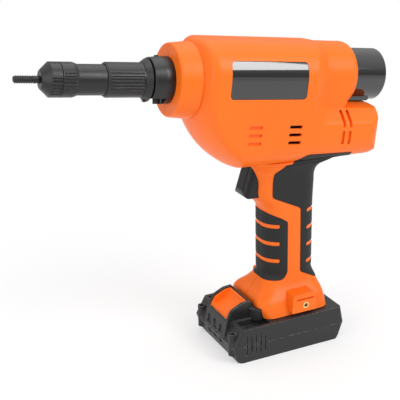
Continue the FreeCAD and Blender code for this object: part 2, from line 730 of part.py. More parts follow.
def nose():
    """What the front ring carries: collar, tube, lock ring, sleeve, lock nut, nose piece and mandrel."""
    nodes = {}
    bore = SPINDLE_R + RUNNING
    collar = turned([(COLLAR_FRONT, TUBE_R, 0), (COLLAR_FRONT, COLLAR_FRONT_R - 0.4, 0),
                     (COLLAR_FRONT + 0.4, COLLAR_FRONT_R, 0), (COLLAR_SWELL, COLLAR_R, 0),
                     (RING_FRONT, COLLAR_R, 0), (RING_FRONT, SPIGOT_R, 0), (CASE_FRONT, SPIGOT_R, 0),
                     (CASE_FRONT, bore, 0), (TUBE_REAR, bore, 0), (TUBE_REAR, TUBE_R, 0)])
    way = PIN_R + RUNNING
    keyway = box(PIN_PLACE - way, PIN_PLACE + STROKE + way, -PIN_REACH - CLEAR, PIN_REACH + CLEAR, -way, way)
    flat = box(COLLAR_FRONT - 1, COLLAR_FLAT_REAR, -COLLAR_R, COLLAR_R, -COLLAR_R - 1, -COLLAR_FLAT)
    flat.rotate(V(), X, SET_TURN)
    holes = [spoke(SET_R, 0, 2 * COLLAR_R, SET_TURN), spoke(SET_R, 0, 2 * COLLAR_R, SET_TURN + 180)]
    nodes["front_collar"] = collar.cut([keyway, flat] + holes)
    low = fused(spoke(SET_R, TUBE_R, COLLAR_FLAT + 1, SET_TURN),
                spoke(SET_HEAD_R, COLLAR_FLAT, SET_HEAD_TOP, SET_TURN))
    high = spoke(SET_R, TUBE_R, COLLAR_R + SET_PROUD, SET_TURN + 180)
    sets = [low.cut(spoke(1.3, SET_HEAD_TOP - 2, SET_HEAD_TOP + 1, SET_TURN)),
            high.cut(spoke(0.8, COLLAR_R - 2, COLLAR_R + 2, SET_TURN + 180))]
    nodes["collar_set_screws"] = Part.makeCompound(sets)
    tube = pipe(TUBE_FRONT, TUBE_REAR, TUBE_R, bore)
    nodes["nose_tube"] = tube
    grip_r = TUBE_R + RUNNING
    ring = turned([(SLEEVE_REAR + 0.2, grip_r, 0), (SLEEVE_REAR + 0.2, SLEEVE_R + 0.2, 0),
                   (SLEEVE_REAR + 0.9, SLEEVE_R + 0.8, 0), (LOCK_RING_REAR - 0.4, LOCK_RING_R, 0),
                   (LOCK_RING_REAR, LOCK_RING_R - 0.4, 0), (LOCK_RING_REAR, grip_r, 0)])
    lug = side_plate([(SLEEVE_REAR + 0.3, -SLEEVE_R + 0.6, 0), (SLEEVE_REAR + 2.3, -LUG_TIP_R, 0.3),
                      (LOCK_RING_REAR, -LOCK_RING_R + 0.4, 0), (LOCK_RING_REAR, -SLEEVE_R + 0.6, 0)], -1.6, 1.6)
    lug.rotate(V(), X, SET_TURN)
    neck = pipe(LOCK_RING_REAR, COLLAR_FRONT - 0.2, LOCK_RING_NECK_R, grip_r)
    nodes["sleeve_lock_ring"] = fused(ring, lug, neck)
    sleeve = turned([(SLEEVE_FRONT, grip_r, 0), (SLEEVE_FRONT, 12.4, 0),
                     (SLEEVE_FRONT + 1.4, SLEEVE_R, 0), (SLEEVE_REAR, SLEEVE_R, 0), (SLEEVE_REAR, grip_r, 0)])
    nodes["stroke_sleeve"] = sleeve.cut(
        grouped(groove_rod(SLEEVE_FRONT + 1.6, SLEEVE_REAR - 1.0, SLEEVE_R), -31))
    nut = turned([(NOSE_REAR + 0.2, grip_r, 0), (NOSE_REAR + 0.2, NOSE_R - 0.3, 0),
                  (NOSE_REAR + 0.5, NOSE_R, 0), (LOCK_NUT_REAR - 2.6, NOSE_R, 0),
                  (LOCK_NUT_REAR, TUBE_R + 0.6, 0), (LOCK_NUT_REAR, grip_r, 0)])
    nodes["nose_lock_nut"] = nut.cut(grouped(groove_rod(NOSE_REAR + 1.1, LOCK_NUT_REAR - 1.2, NOSE_R), -30))
    mandrel_hole = MANDREL_R + RUNNING
    piece = turned([(NOSE_TIP, mandrel_hole, 0), (NOSE_TIP, NOSE_TIP_R, 0.9), (NOSE_SHOULDER, NOSE_R, 0),
                    (NOSE_REAR - 0.3, NOSE_R, 0), (NOSE_REAR, NOSE_R - 0.3, 0), (NOSE_REAR, grip_r, 0),
                    (TUBE_FRONT - CLEAR, grip_r, 0), (TUBE_FRONT - CLEAR, mandrel_hole, 0)])
    nodes["nose_piece"] = piece.cut(grouped(groove_rod(NOSE_SHOULDER - 0.6, NOSE_REAR - 0.7, NOSE_R), -12))
    mandrel = turned([(MANDREL_TIP, 0, 0), (MANDREL_TIP, MANDREL_R - 0.7, 0),
                      (MANDREL_TIP + 0.7, MANDREL_R, 0), (THREAD_REAR, MANDREL_R, 0),
                      (THREAD_REAR, MANDREL_SHANK_R, 0), (MANDREL_HEAD, MANDREL_SHANK_R, 0),
                      (MANDREL_HEAD, 0, 0)])
    hexagon = []
    for i in range(6):
        angle = math.radians(60 * i)
        hexagon.append((MANDREL_HEAD_R * math.cos(angle), MANDREL_HEAD_R * math.sin(angle), 0))
    head = Part.Face(rounded(hexagon, lambda a, b: V(MANDREL_HEAD, a, b))).extrude(V(MANDREL_HEAD_LONG, 0, 0))
    nodes["threaded_mandrel"] = fused(mandrel, head)
    return {name: tilted(shape) for name, shape in nodes.items()}


def spindle():
    """The draw spindle that pulls the mandrel, its retainer and pin, the ball screw and the ball nut."""
    nodes = {}
    socket_r = MANDREL_HEAD_R + CLEAR
    socket_end = MANDREL_HEAD + MANDREL_HEAD_LONG + CLEAR
    front = MANDREL_HEAD - CLEAR
    shaft = rod(SPINDLE_FRONT, SCREW_FRONT, SPINDLE_R).cut(rod(SPINDLE_FRONT - 1, socket_end, socket_r))
    shaft = shaft.cut(Part.makeCylinder(PIN_R, 60, V(PIN_PLACE, -30, 0), Y))
    shaft = shaft.cut(rod(SCREW_FRONT - 8, SCREW_FRONT + 1, SCREW_R - 1.5))
    nodes["draw_spindle"] = shaft
    nodes["mandrel_retainer"] = pipe(SPINDLE_FRONT, front, socket_r, MANDREL_R + RUNNING)
    nodes["anti_turn_pin"] = Part.makeCylinder(PIN_R, 2 * PIN_REACH, V(PIN_PLACE, -PIN_REACH, 0), Y)
    nodes["ball_screw"] = fused(rod(SCREW_FRONT - 8, SCREW_FRONT, SCREW_R - 1.5),
                                rod(SCREW_FRONT, SCREW_REAR, SCREW_R))
    bore = SCREW_R + RUNNING
    nodes["ball_nut"] = turned([(NUT_FRONT, bore, 0), (NUT_FRONT, NUT_R, 0), (GEAR_FRONT, NUT_R, 0),
                                (GEAR_FRONT, JOURNAL_R, 0),
                                (NUT_REAR, JOURNAL_R, 0), (NUT_REAR, bore, 0)])
    pitch_r = NUT_R - 1.0
    washer_bore = pitch_r - 4.0
    nodes["thrust_washer_rear"] = pipe(NUT_FRONT - 2, NUT_FRONT, NUT_R + 2.8, washer_bore)
    middle = NUT_FRONT - 2 - THRUST_BALL_R
    balls = around(Part.makeSphere(THRUST_BALL_R - 0.02, V(middle, 0, pitch_r)), THRUST_BALLS)
    nodes["thrust_balls"] = Part.makeCompound(balls)
    pockets = around(Part.makeSphere(THRUST_BALL_R + 0.1, V(middle, 0, pitch_r)), THRUST_BALLS)
    nodes["thrust_cage"] = pipe(middle - 0.8, middle + 0.8, pitch_r + 2.6, pitch_r - 2.6).cut(pockets)
    nodes["thrust_washer_front"] = pipe(middle - THRUST_BALL_R - 2, middle - THRUST_BALL_R, NUT_R + 3,
                                        washer_bore)
    return {name: tilted(shape) for name, shape in nodes.items()}


def gear_outline(teeth, module, tip, root, slack, x, turn):
    """A gear's straight flanked outline at x. slack thins each flank, turn is one tooth's angle in degrees."""
    pitch_r = module * teeth / 2
    half = math.pi * module / 4 - slack
    lean = math.tan(math.radians(20))
    points = []
    for i in range(teeth):
        centre = math.radians(turn + 360 * i / teeth)
        for radius, side in ((pitch_r - root, -1), (pitch_r + tip, -1), (pitch_r + tip, 1),
                             (pitch_r - root, 1)):
            wide = half - (radius - pitch_r) * lean
            angle = centre + side * wide / pitch_r
            points.append(V(x, radius * math.cos(angle), radius * math.sin(angle)))
    points.append(points[0])
    return Part.makePolygon(points)


def gear(teeth, module, x, width, turn=90.0, tip=0.85, root=1.15, slack=0.1):
    """A spur gear around the barrel's x axis, from x over its width, with one tooth centred at turn."""
    outline = gear_outline(teeth, module, tip * module, root * module, slack * module, x, turn)
    return Part.Face(outline).extrude(V(width, 0, 0))


def drive():
    """The gears between the motor and the ball nut, with the planet stage on the motor's axis."""
    nodes = {}
    nodes["drive_gear"] = gear(DRIVE_TEETH, SPUR_MODULE, GEAR_FRONT, GEAR_WIDTH,
                               -90.0).cut(rod(-20, 20, JOURNAL_R))
    pinion = gear(OUTPUT_TEETH, SPUR_MODULE, GEAR_FRONT, GEAR_WIDTH, 90 + 180 / OUTPUT_TEETH)
    shaft_end = GEAR_FRONT - 9
    disc = rod(PLANET_FRONT - 3.5, PLANET_FRONT - 0.5, 13)
    orbit = FINE_MODULE * (SUN_TEETH + PLANET_TEETH) / 2
    pins = around(rod(PLANET_FRONT - 2, PLANET_FRONT + PLANET_WIDTH + 0.4, PLANET_PIN_R, 0, orbit), PLANETS)
    nodes["planet_carrier"] = fused(pinion, rod(shaft_end, PLANET_FRONT - 1, OUTPUT_SHAFT_R), disc, *pins)
    bore = PLANET_PIN_R + RUNNING
    for i in range(PLANETS):
        planet = gear(PLANET_TEETH, FINE_MODULE, PLANET_FRONT, PLANET_WIDTH,
                      90 + 180 / PLANET_TEETH).cut(rod(0, 60, bore))
        planet.translate(V(0, 0, orbit))
        planet.rotate(V(), X, 360 * i / PLANETS)
        nodes["planet_gear_%d" % (i + 1)] = planet
    space = gear(RING_TEETH, FINE_MODULE, PLANET_FRONT - 1, PLANET_WIDTH + 2, 90 + 180 / RING_TEETH, 1.15,
                 0.85, -0.1)
    nodes["ring_gear"] = rod(PLANET_FRONT - 0.5, PLANET_FRONT + PLANET_WIDTH + 0.5, RING_GEAR_R).cut(space)
    sun = gear(SUN_TEETH, FINE_MODULE, PLANET_FRONT, PLANET_WIDTH + 2, 90.0)
    nodes["motor_pinion"] = sun.cut(rod(0, 60, SHAFT_R))
    down = V(0, 0, -MOTOR_DROP)
    for name, shape in nodes.items():
        if name != "drive_gear":
            shape.translate(down)
    return {name: tilted(shape) for name, shape in nodes.items()}


def gear_case():
    """The cast case round the nut and gears, in two halves with screws, and the bearings that it holds."""
    nodes = {}
    low = -MOTOR_DROP
    places = [(CASE_EAR_RING * math.cos(math.radians(a)),
               CASE_EAR_RING * math.sin(math.radians(a))) for a in CASE_EARS]
    flange = fused(rod(GEAR_FRONT - 5, GEAR_FRONT - 1, CASE_FLANGE_R),
                   rod(GEAR_FRONT - 5, GEAR_FRONT - 1, GEARBOX_R, 0, low),
                   *[rod(GEAR_FRONT - 5, GEAR_FRONT - 1, CASE_EAR_R, y, z) for y, z in places])
    front = fused(rod(CASE_FRONT, GEAR_FRONT - 4, CASE_R), flange,
                  rod(GEAR_FRONT - 12, GEAR_FRONT - 4, OUTPUT_SHAFT_R + 5, 0, low))
    chest = NUT_FRONT - 4 - 2 * THRUST_BALL_R
    front = front.cut(rod(CASE_FRONT - 1, chest, SPINDLE_R + CLEAR))
    front = front.cut(rod(chest, NUT_FRONT + 1, NUT_R + 3))
    front = front.cut(rod(NUT_FRONT, GEAR_FRONT - 8, NUT_R + CLEAR + 1))
    front = front.cut(rod(GEAR_FRONT - 8, 20, NUT_R + CLEAR + 4))
    front = front.cut(rod(GEAR_FRONT - 9.2, 20, OUTPUT_SHAFT_R + 2.5, 0, low))
    nodes["gear_case_front"] = front
    front_bearing = pipe(GEAR_FRONT - 8, GEAR_FRONT - 1.5, NUT_R + CLEAR + 4, NUT_R + RUNNING)
    rear_x = GEAR_FRONT + GEAR_WIDTH + 0.6
    rim = fused(rod(GEAR_FRONT - 1, rear_x + 6, CASE_FLANGE_R),
                rod(GEAR_FRONT - 1, MOTOR_FRONT, GEARBOX_R, 0, low),
                *[rod(GEAR_FRONT - 1, rear_x + 6, CASE_EAR_R, y, z) for y, z in places])
    rim = rim.cut(rod(GEAR_FRONT - 2, rear_x, DRIVE_TEETH * SPUR_MODULE / 2 + 2.0))
    rim = rim.cut(rod(GEAR_FRONT - 2, rear_x, OUTPUT_TEETH * SPUR_MODULE / 2 + 2.0, 0, low))
    rim = rim.cut(rod(rear_x - 1, rear_x + 10, JOURNAL_R + 5))
    rim = rim.cut(rod(rear_x - 1, PLANET_FRONT - 0.5, 14, 0, low))
    rim = rim.cut(rod(PLANET_FRONT - 0.5, MOTOR_FRONT - 3, RING_GEAR_R, 0, low))
    rim = rim.cut(rod(MOTOR_FRONT - 4, MOTOR_FRONT + 1, 8, 0, low))
    nodes["gear_case_rear"] = rim
    rear_bearing = pipe(rear_x, rear_x + 6, JOURNAL_R + 5, JOURNAL_R + RUNNING)
    pinion_bearing = pipe(GEAR_FRONT - 9, GEAR_FRONT - 4, OUTPUT_SHAFT_R + 2.5, OUTPUT_SHAFT_R + RUNNING,
                          0, low)
    nodes["gear_case_bearings"] = Part.makeCompound([front_bearing, rear_bearing, pinion_bearing])
    screws = []
    for y, z in places:
        screws.append(fused(rod(GEAR_FRONT - 7.4, GEAR_FRONT - 5, 2.2, y, z),
                            rod(GEAR_FRONT - 5.1, rear_x + 4, 1.2, y, z)))
        bore = rod(GEAR_FRONT - 6, rear_x + 4.3, 1.2, y, z)
        nodes["gear_case_front"] = nodes["gear_case_front"].cut(bore)
        nodes["gear_case_rear"] = nodes["gear_case_rear"].cut(bore)
    nodes["gear_case_screws"] = Part.makeCompound(screws)
    return {name: tilted(shape) for name, shape in nodes.items()}


def motor():
    """The motor behind the gears: can, magnets, end cap, and the rotor with shaft and fan."""
    nodes = {}
    x0, x1 = MOTOR_FRONT, MOTOR_FRONT + MOTOR_LENGTH
    can = rod(x0, x1 - 6, MOTOR_R).cut(rod(x0 + 1.5, x1, MOTOR_R - 1.2)).cut(rod(x0 - 1, x0 + 3, 3.5))
    for port in around(box(x0 + 3, x0 + 9, -3, 3, MOTOR_R - 3, MOTOR_R + 1), 4, 0, 45):
        can = can.cut(port)
    nodes["motor_can"] = fused(can, rod(x0 - 2.8, x0 + 0.1, 7.8).cut(rod(x0 - 4, x0 + 1, 3.5)))
    magnet = pipe(x0 + 14, x1 - 12, MOTOR_R - 1.2, 12.0).cut(box(0, 100, -20, 20, -4, 4))
    nodes["motor_magnets"] = Part.makeCompound(magnet.Solids)
    bush = pipe(x0 - 2.8, x0 + 1.5, 3.5, SHAFT_R + RUNNING)
    nodes["motor_end_cap"] = rod(x1 - 6, x1 - 1,
                                 MOTOR_R).cut(rod(x1 - 7, x1 - 3, MOTOR_R - 2)).cut(rod(x1 - 8, x1, 3.5))
    holder = box(x1 - 11.8, x1 - 2.8, 6.5, 11.8, -3, 3)
    brush = box(x1 - 11.8, x1 - 7.9, 5.05, 11, -1.5, 1.5)
    holder = holder.cut(brush)
    nodes["motor_end_cap"] = fused(nodes["motor_end_cap"], holder, mirrored(holder))
    nodes["motor_brushes"] = Part.makeCompound([brush, mirrored(brush)])
    nodes["motor_bushes"] = Part.makeCompound([bush, pipe(x1 - 4.5, x1, 3.5, SHAFT_R + RUNNING)])
    nodes["motor_shaft"] = rod(PLANET_FRONT, x1 + 0.5, SHAFT_R)
    core = rod(x0 + 16, x1 - 16, 11.4).cut(rod(0, 100, SHAFT_R))
    for slot in around(box(x0, x1, -0.9, 0.9, 8.6, 12), 9):
        core = core.cut(slot)
    nodes["motor_rotor"] = Part.makeCompound([core, pipe(x1 - 14, x1 - 7.5, 5.0, SHAFT_R)])
    hub = pipe(x0 + 3.5, x0 + 10, 4.0, SHAFT_R)
    blades = around(box(x0 + 4, x0 + 10, -0.5, 0.5, 3.5, 13.0), 9)
    nodes["motor_fan"] = fused(hub, *blades)
    down = V(0, 0, -MOTOR_DROP)
    for shape in nodes.values():
        shape.translate(down)
    return {name: tilted(shape) for name, shape in nodes.items()}


def rear_cover():
    """The round cover that the ball screw draws back into, with the saddle under it."""
    shell = rod(COVER_FRONT, COVER_REAR, COVER_R, 0, COVER_RISE)
    rim = [edge for edge in shell.Edges if edge.BoundBox.XMin > COVER_REAR - 0.1]
    shell = shell.makeFillet(1.6, rim)
    shell = fused(shell, rod(COVER_FRONT, COVER_FRONT + 3, COVER_R + 2.4, 0, COVER_RISE))
    low = BULGE_TOP + BULGE_CROWN + 0.5
    corners = [(BARREL_REAR + 0.4, low, 0), (89.5, low, 1.5), (90.3, low + 3, 2), (86, low + 8, 3),
               (BARREL_REAR + 0.4, low + 8, 0)]
    saddle = side_plate(corners, -14, 14)
    shell = fused(shell, saddle)
    hollow = rod(COVER_FRONT - 1, COVER_REAR - COVER_WALL, COVER_R - COVER_WALL, 0, COVER_RISE)
    return {"rear_cover": tilted(shell.cut(hollow))}


def coil(radius, wire, pitch, length):
    """A round wire spring standing on z = 0 from its first turn."""
    path = Part.Wire(Part.makeHelix(pitch, length - 2 * wire, radius))
    path.translate(V(0, 0, wire))
    profile = Part.Wire(Part.makeCircle(wire, V(radius, 0, wire), Y))
    return path.makePipeShell([profile], True, True)


def trigger():
    """Trigger with its plunger, the return spring, and the switch that it works."""
    nodes = {}
    half = TRIGGER_HALF
    profile = [(-20.3, 166.4, 1.5), (-28.6, 141.5, 3), (-27.4, TRIGGER_LOW + 0.6, 4),
               (-16.0, TRIGGER_LOW, 3), (TRIGGER_REAR, TRIGGER_LOW, 1),
               (TRIGGER_REAR, 163.0, 1), (-14.0, 164.6, 2)]
    lever = side_plate(profile, -half, half)
    plan = [(-24.9, -half, 8.0), (60, -half, 0), (60, half, 0), (-24.9, half, 8.0)]
    slant = top_plate(plan, 110, 200)
    slant.rotate(V(-24.9, 0, 154), Y, 18.4)
    lever = lever.common(slant)
    plunger_z = (SWITCH_LOW + SWITCH_HIGH) / 2
    pocket = rod(TRIGGER_REAR - 8, TRIGGER_REAR + 1, PLUNGER_R + 3.0, 0, plunger_z)
    plunger = rod(TRIGGER_REAR - 9, SWITCH_FRONT + 5, PLUNGER_R, 0, plunger_z)
    nodes["trigger"] = fused(lever.cut(pocket), plunger)
    spring = coil(PLUNGER_R + 1.7, 0.5, 2.4, SWITCH_FRONT - TRIGGER_REAR + 0.4)
    spring.rotate(V(), Y, 90)
    spring.translate(V(TRIGGER_REAR - 0.9, 0, plunger_z))
    nodes["trigger_spring"] = spring
    case = box(SWITCH_FRONT, SWITCH_REAR, -SWITCH_HALF, SWITCH_HALF, SWITCH_LOW, SWITCH_HIGH)
    case = case.cut(rod(SWITCH_FRONT - 1, SWITCH_FRONT + 5 + TRIGGER_TRAVEL + 1, PLUNGER_R + RUNNING, 0,
                        plunger_z))
    nodes["trigger_switch"] = case
    nodes["control_board"] = box(4, 28, -BOARD_HALF, BOARD_HALF, 75, 111)
    block = box(TERMINAL_FRONT, TERMINAL_REAR, -15, 15, BLADE_LOW - 0.8, BLADE_HIGH + 2)
    blades = []
    for y in BLADE_PLACES:
        blades.append(box(TERMINAL_FRONT - 14, TERMINAL_REAR - 1, y - BLADE_HALF, y + BLADE_HALF,
                          BLADE_LOW, BLADE_HIGH))
    nodes["terminal_block"] = block.cut(Part.makeCompound(blades))
    nodes["terminal_blades"] = Part.makeCompound(blades)
    return nodes


def pack_shape(skin):
    """The outside of the battery below its deck, grown by skin: widest where its two halves meet."""
    levels = [(0 - skin, PACK_FRONT, PACK_REAR, PACK_HALF, 4),
              (PACK_BELLY, PACK_FRONT - 1.6, PACK_REAR + 1.6, PACK_HALF + 0.3, 4),
              (PACK_SPLIT, PACK_FRONT - 5.5, PACK_REAR + 5.5, PACK_HALF + 1.0, 4),
              (PACK_DECK + skin, PACK_FRONT + 3.0, PACK_REAR + 2.4, PACK_HALF + 0.2, 3)]
    wires = [level_wire(front - skin, rear + skin, half + skin, radius + skin, z) for z, front, rear,
             half, radius in levels]
    return Part.makeLoft(wires, True, True)


def arch_shape():
    """The arch at the battery's front, which the release button sits in."""
    corners = [(PACK_FRONT - 5.0, PACK_SPLIT + 1, 0), (-51.2, 31, 4), (-46.5, 40.5, 7), (-36, 45.4, 8),
               (ARCH_REAR, 46.0, 1), (ARCH_REAR, PACK_SPLIT + 1, 0)]
    return side_plate(corners, -ARCH_HALF, ARCH_HALF)


def battery_top(outside, inside):
    """The upper case half: deck, rail hump with its grooves, arch, side pockets and the blade slots."""
    arch = arch_shape()
    plan = [(HUMP_FRONT, -HUMP_HALF, 7), (HUMP_REAR, -HUMP_HALF, 2), (HUMP_REAR, HUMP_HALF, 2),
            (HUMP_FRONT, HUMP_HALF, 7)]
    hump = top_plate(plan, PACK_DECK - 1, HUMP_TOP)
    groove = box(-16, 60, HUMP_HALF - 3.0, 60, RAIL_LOW - CLEAR, RAIL_HIGH + CLEAR)
    hump = hump.cut(groove).cut(mirrored(groove))
    top = fused(outside.common(box(-80, 80, -60, 60, PACK_SPLIT, 60)), arch, hump)
    block = arch.common(box(-80, 80, -60, 60, FRAME_TOP + CLEAR, 60))
    top = top.cut(inside.cut(block))
    pocket = top_plate([(-43.0, 21.0, 2), (-17.5, 21.0, 2), (-17.5, 35.2, 2), (-43.0, 35.2, 2)],
                       PACK_DECK - 6, PACK_DECK + 1)
    pocket = pocket.cut(hump)
    floor = top_plate([(-45, 18, 0), (-15, 18, 0), (-15, 37.0, 0), (-45, 37.0, 0)], PACK_DECK - 7.5,
                      PACK_DECK - 1)
    floor = floor.common(outside)
    top = fused(top, floor, mirrored(floor)).cut(pocket).cut(mirrored(pocket))
    well = box(BUTTON_FRONT - CLEAR, BUTTON_REAR + CLEAR, -BUTTON_HALF - CLEAR, BUTTON_HALF + CLEAR,
               BOARD_TOP, 60)
    reach = TONGUE_HALF + CLEAR
    low = 35.0 - BUTTON_TRAVEL - CLEAR
    cuts = [well, box(BUTTON_REAR, -16.5, -reach, reach, low, HUMP_TOP + 0.6),
            box(ARCH_REAR, -16.5, -reach, reach, low, 60)]
    for y in BLADE_PLACES:
        cuts.append(box(TERMINAL_FRONT - 15.4, HUMP_REAR + 1, y - 1.5, y + 1.5, BLADE_LOW - 0.8,
                        BLADE_HIGH + 0.8))
        cuts.append(box(TERMINAL_FRONT - 15.4, TERMINAL_FRONT - 2, y - 1.5, y + 1.5, BOARD_TOP - 1,
                        BLADE_LOW))
    for y in PANEL_PLACES:
        cuts.append(side_plate([(-70, 18.2, 0), (-52.6, 18.2, 0), (-51.1, 26.0, 0), (-70, 26.0, 0)],
                               y - PANEL_HALF, y + PANEL_HALF))
    return top.cut(cuts)


def battery():
    """The battery: two case halves, cells, board, contacts, and the button that frees it."""
    nodes = {}
    outside = pack_shape(0)
    inside = pack_shape(-PACK_WALL)
    top = battery_top(outside, inside)
    bottom = outside.common(box(-80, 80, -60, 60, -1, PACK_SPLIT)).cut(inside)
    cuts = []
    screws = []
    under = pack_shape(-PANEL_DEPTH)
    for y in PANEL_PLACES:
        cuts.append(box(-70, PACK_FRONT + 9, y - PANEL_HALF, y + PANEL_HALF, 8.0, 13.4).cut(under))
    for side in (1, -1):
        y = side * LUG_Y
        bottom = bottom.fuse(Part.makeCylinder(LUG_R, PACK_SPLIT - LUG_LOW, V(LUG_X, y, LUG_LOW)).cut(inside))
        top = top.fuse(Part.makeCylinder(LUG_R, LUG_HIGH - PACK_SPLIT, V(LUG_X, y, PACK_SPLIT)).cut(inside))
        cuts.append(Part.makeCylinder(1.3, LUG_HIGH - PACK_SPLIT + 8.3, V(LUG_X, y, PACK_SPLIT - 8)))
        cuts.append(Part.makeCylinder(2.3, 5, V(LUG_X, y, LUG_HIGH - 3.5)))
        stem = Part.makeCylinder(1.25, LUG_HIGH - 3.5 - PACK_SPLIT + 8, V(LUG_X, y, PACK_SPLIT - 8))
        screws.append(fused(stem, Part.makeCylinder(2.1, 1.6, V(LUG_X, y, LUG_HIGH - 3.5))))
    for i in range(5):
        x = -42.5 + 4.4 * i
        rib = box(x, x + 1.1, -60, 0.4 - PACK_HALF, 6.5, 24.5)
        cuts += [rib, mirrored(rib)]
    nodes["battery_upper_case"] = biggest(top.cut(cuts).removeSplitter())
    nodes["battery_lower_case"] = biggest(bottom.cut(cuts).removeSplitter())
    nodes["battery_screws"] = Part.makeCompound(screws)
    cell_z = PACK_WALL + CELL_R + 0.1
    places = [CELL_PITCH * (i - 2) for i in range(5)]
    cells = []
    frame = box(-46.6, 46.6, 24, 28, PACK_WALL + 0.1, FRAME_TOP)
    for x in places:
        cell = cross_rod(x, cell_z, -CELL_LENGTH / 2, CELL_LENGTH / 2, CELL_R)
        cells.append(fused(cell, cross_rod(x, cell_z, CELL_LENGTH / 2, CELL_LENGTH / 2 + 0.8, 3)))
        frame = frame.cut(cross_rod(x, cell_z, -60, 60, CELL_R + 0.1))
    nodes["battery_cells"] = Part.makeCompound(cells)
    frame = biggest(frame)
    nodes["cell_frames"] = Part.makeCompound([frame, mirrored(frame)])
    nodes["cell_board"] = box(-25, TERMINAL_FRONT - 1, -30, 30, FRAME_TOP, BOARD_TOP)
    contacts = []
    for y in BLADE_PLACES:
        clip = box(TERMINAL_FRONT - 14, TERMINAL_FRONT - 2.4, y - 1.2, y + 1.2, BOARD_TOP, BLADE_HIGH)
        grip_gap = BLADE_HALF + RUNNING
        contacts.append(clip.cut(box(0, 60, y - grip_gap, y + grip_gap, BLADE_LOW - 3, 60)))
    nodes["battery_contacts"] = Part.makeCompound(contacts)
    low = BUTTON_LOW
    button = side_plate([(BUTTON_FRONT, low, 0), (BUTTON_FRONT, 31.8, 3), (-45.4, 39.6, 6), (-35.8, 44.2, 7),
                         (BUTTON_REAR, 44.8, 0), (BUTTON_REAR, low, 0)], -BUTTON_HALF, BUTTON_HALF)
    start, lowest, end = V(-48.6, 0, 35.0), V(-40.0, 0, 36.8), V(BUTTON_REAR - 1.3, 0, 45.2)
    edges = [Part.Arc(start, lowest, end), Part.LineSegment(end, V(end.x, 0, 60)),
             Part.LineSegment(V(end.x, 0, 60), V(start.x, 0, 60)), Part.LineSegment(V(start.x, 0, 60), start)]
    face = Part.Face(Part.Wire([edge.toShape() for edge in edges]))
    face.translate(V(0, -SCOOP_HALF, 0))
    button = button.cut(face.extrude(V(0, 2 * SCOOP_HALF, 0)))
    tongue = box(BUTTON_REAR - 1, -17.5, -TONGUE_HALF, TONGUE_HALF, 35, 38.2)
    hook = box(-20.4, -17.5, -TONGUE_HALF, TONGUE_HALF, 35, HUMP_TOP + 0.2)
    nodes["release_button"] = fused(button, tongue, hook)
    springs = []
    for y in (-9.0, 9.0):
        spring = coil(2.6, 0.45, 1.8, BUTTON_LOW - BOARD_TOP)
        spring.translate(V((BUTTON_FRONT + BUTTON_REAR) / 2, y, BOARD_TOP))
        springs.append(spring)
    nodes["button_springs"] = Part.makeCompound(springs)
    return nodes


if __name__ == "__main__":
    os.makedirs("parts", exist_ok=True)
    pieces = {}
    for build in (housing, nose, spindle, drive, gear_case, motor, rear_cover, trigger, battery):
        pieces.update(build())
    for name, shape in pieces.items():
        bad = "" if shape.isValid() else "INVALID"
        print("%-22s %2d solids %10.1f %s" % (name, len(shape.Solids), shape.Volume, bad))
        shape.exportStep("parts/" + name + ".step")
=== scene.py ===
"""The looks of a battery rivet nut tool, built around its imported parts. Lengths are in metres."""

import logging
import math
from collections.abc import Callable
from dataclasses import dataclass, field
from enum import Enum

import bmesh
import bpy
from mathutils import Matrix, Vector

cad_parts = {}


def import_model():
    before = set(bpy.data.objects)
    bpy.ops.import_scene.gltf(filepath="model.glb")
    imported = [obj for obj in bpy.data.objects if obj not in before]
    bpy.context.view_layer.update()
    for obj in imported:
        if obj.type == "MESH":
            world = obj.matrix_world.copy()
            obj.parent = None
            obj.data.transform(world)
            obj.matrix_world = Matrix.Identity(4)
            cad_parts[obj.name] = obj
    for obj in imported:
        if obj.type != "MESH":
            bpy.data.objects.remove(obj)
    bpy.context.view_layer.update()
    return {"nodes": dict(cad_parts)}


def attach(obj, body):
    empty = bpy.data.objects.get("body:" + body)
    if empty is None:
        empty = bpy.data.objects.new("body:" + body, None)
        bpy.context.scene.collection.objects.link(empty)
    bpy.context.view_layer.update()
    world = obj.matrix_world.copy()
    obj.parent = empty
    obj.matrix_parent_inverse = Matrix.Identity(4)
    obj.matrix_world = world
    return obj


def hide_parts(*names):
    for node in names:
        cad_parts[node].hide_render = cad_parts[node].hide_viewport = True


LOG = logging.getLogger("rivet_tool")
MM = 0.001

# The barrel lies tilted nose up above the battery: its own x runs back along the spindle axis
AXIS_HEIGHT = 230.3 * MM
NOSE_UP = math.radians(7.0)
BARREL = Matrix.Translation((0, 0, AXIS_HEIGHT)) @ Matrix.Rotation(NOSE_UP, 4, "Y")

# The angle between two faces from which their edge is sharp, on meshes drawn here
DRAWN_CREASE = math.radians(34.0)

Colour = tuple[float, float, float]
Place = tuple[float, float, float]
Span = tuple[float, float]
Socket = bpy.types.NodeSocket
WHITE = (1.0, 1.0, 1.0, 1.0)


class Slot(Enum):
    """A material slot name of the record; no piece here takes its finish from it."""

    BLACK_STEEL = "black_steel"


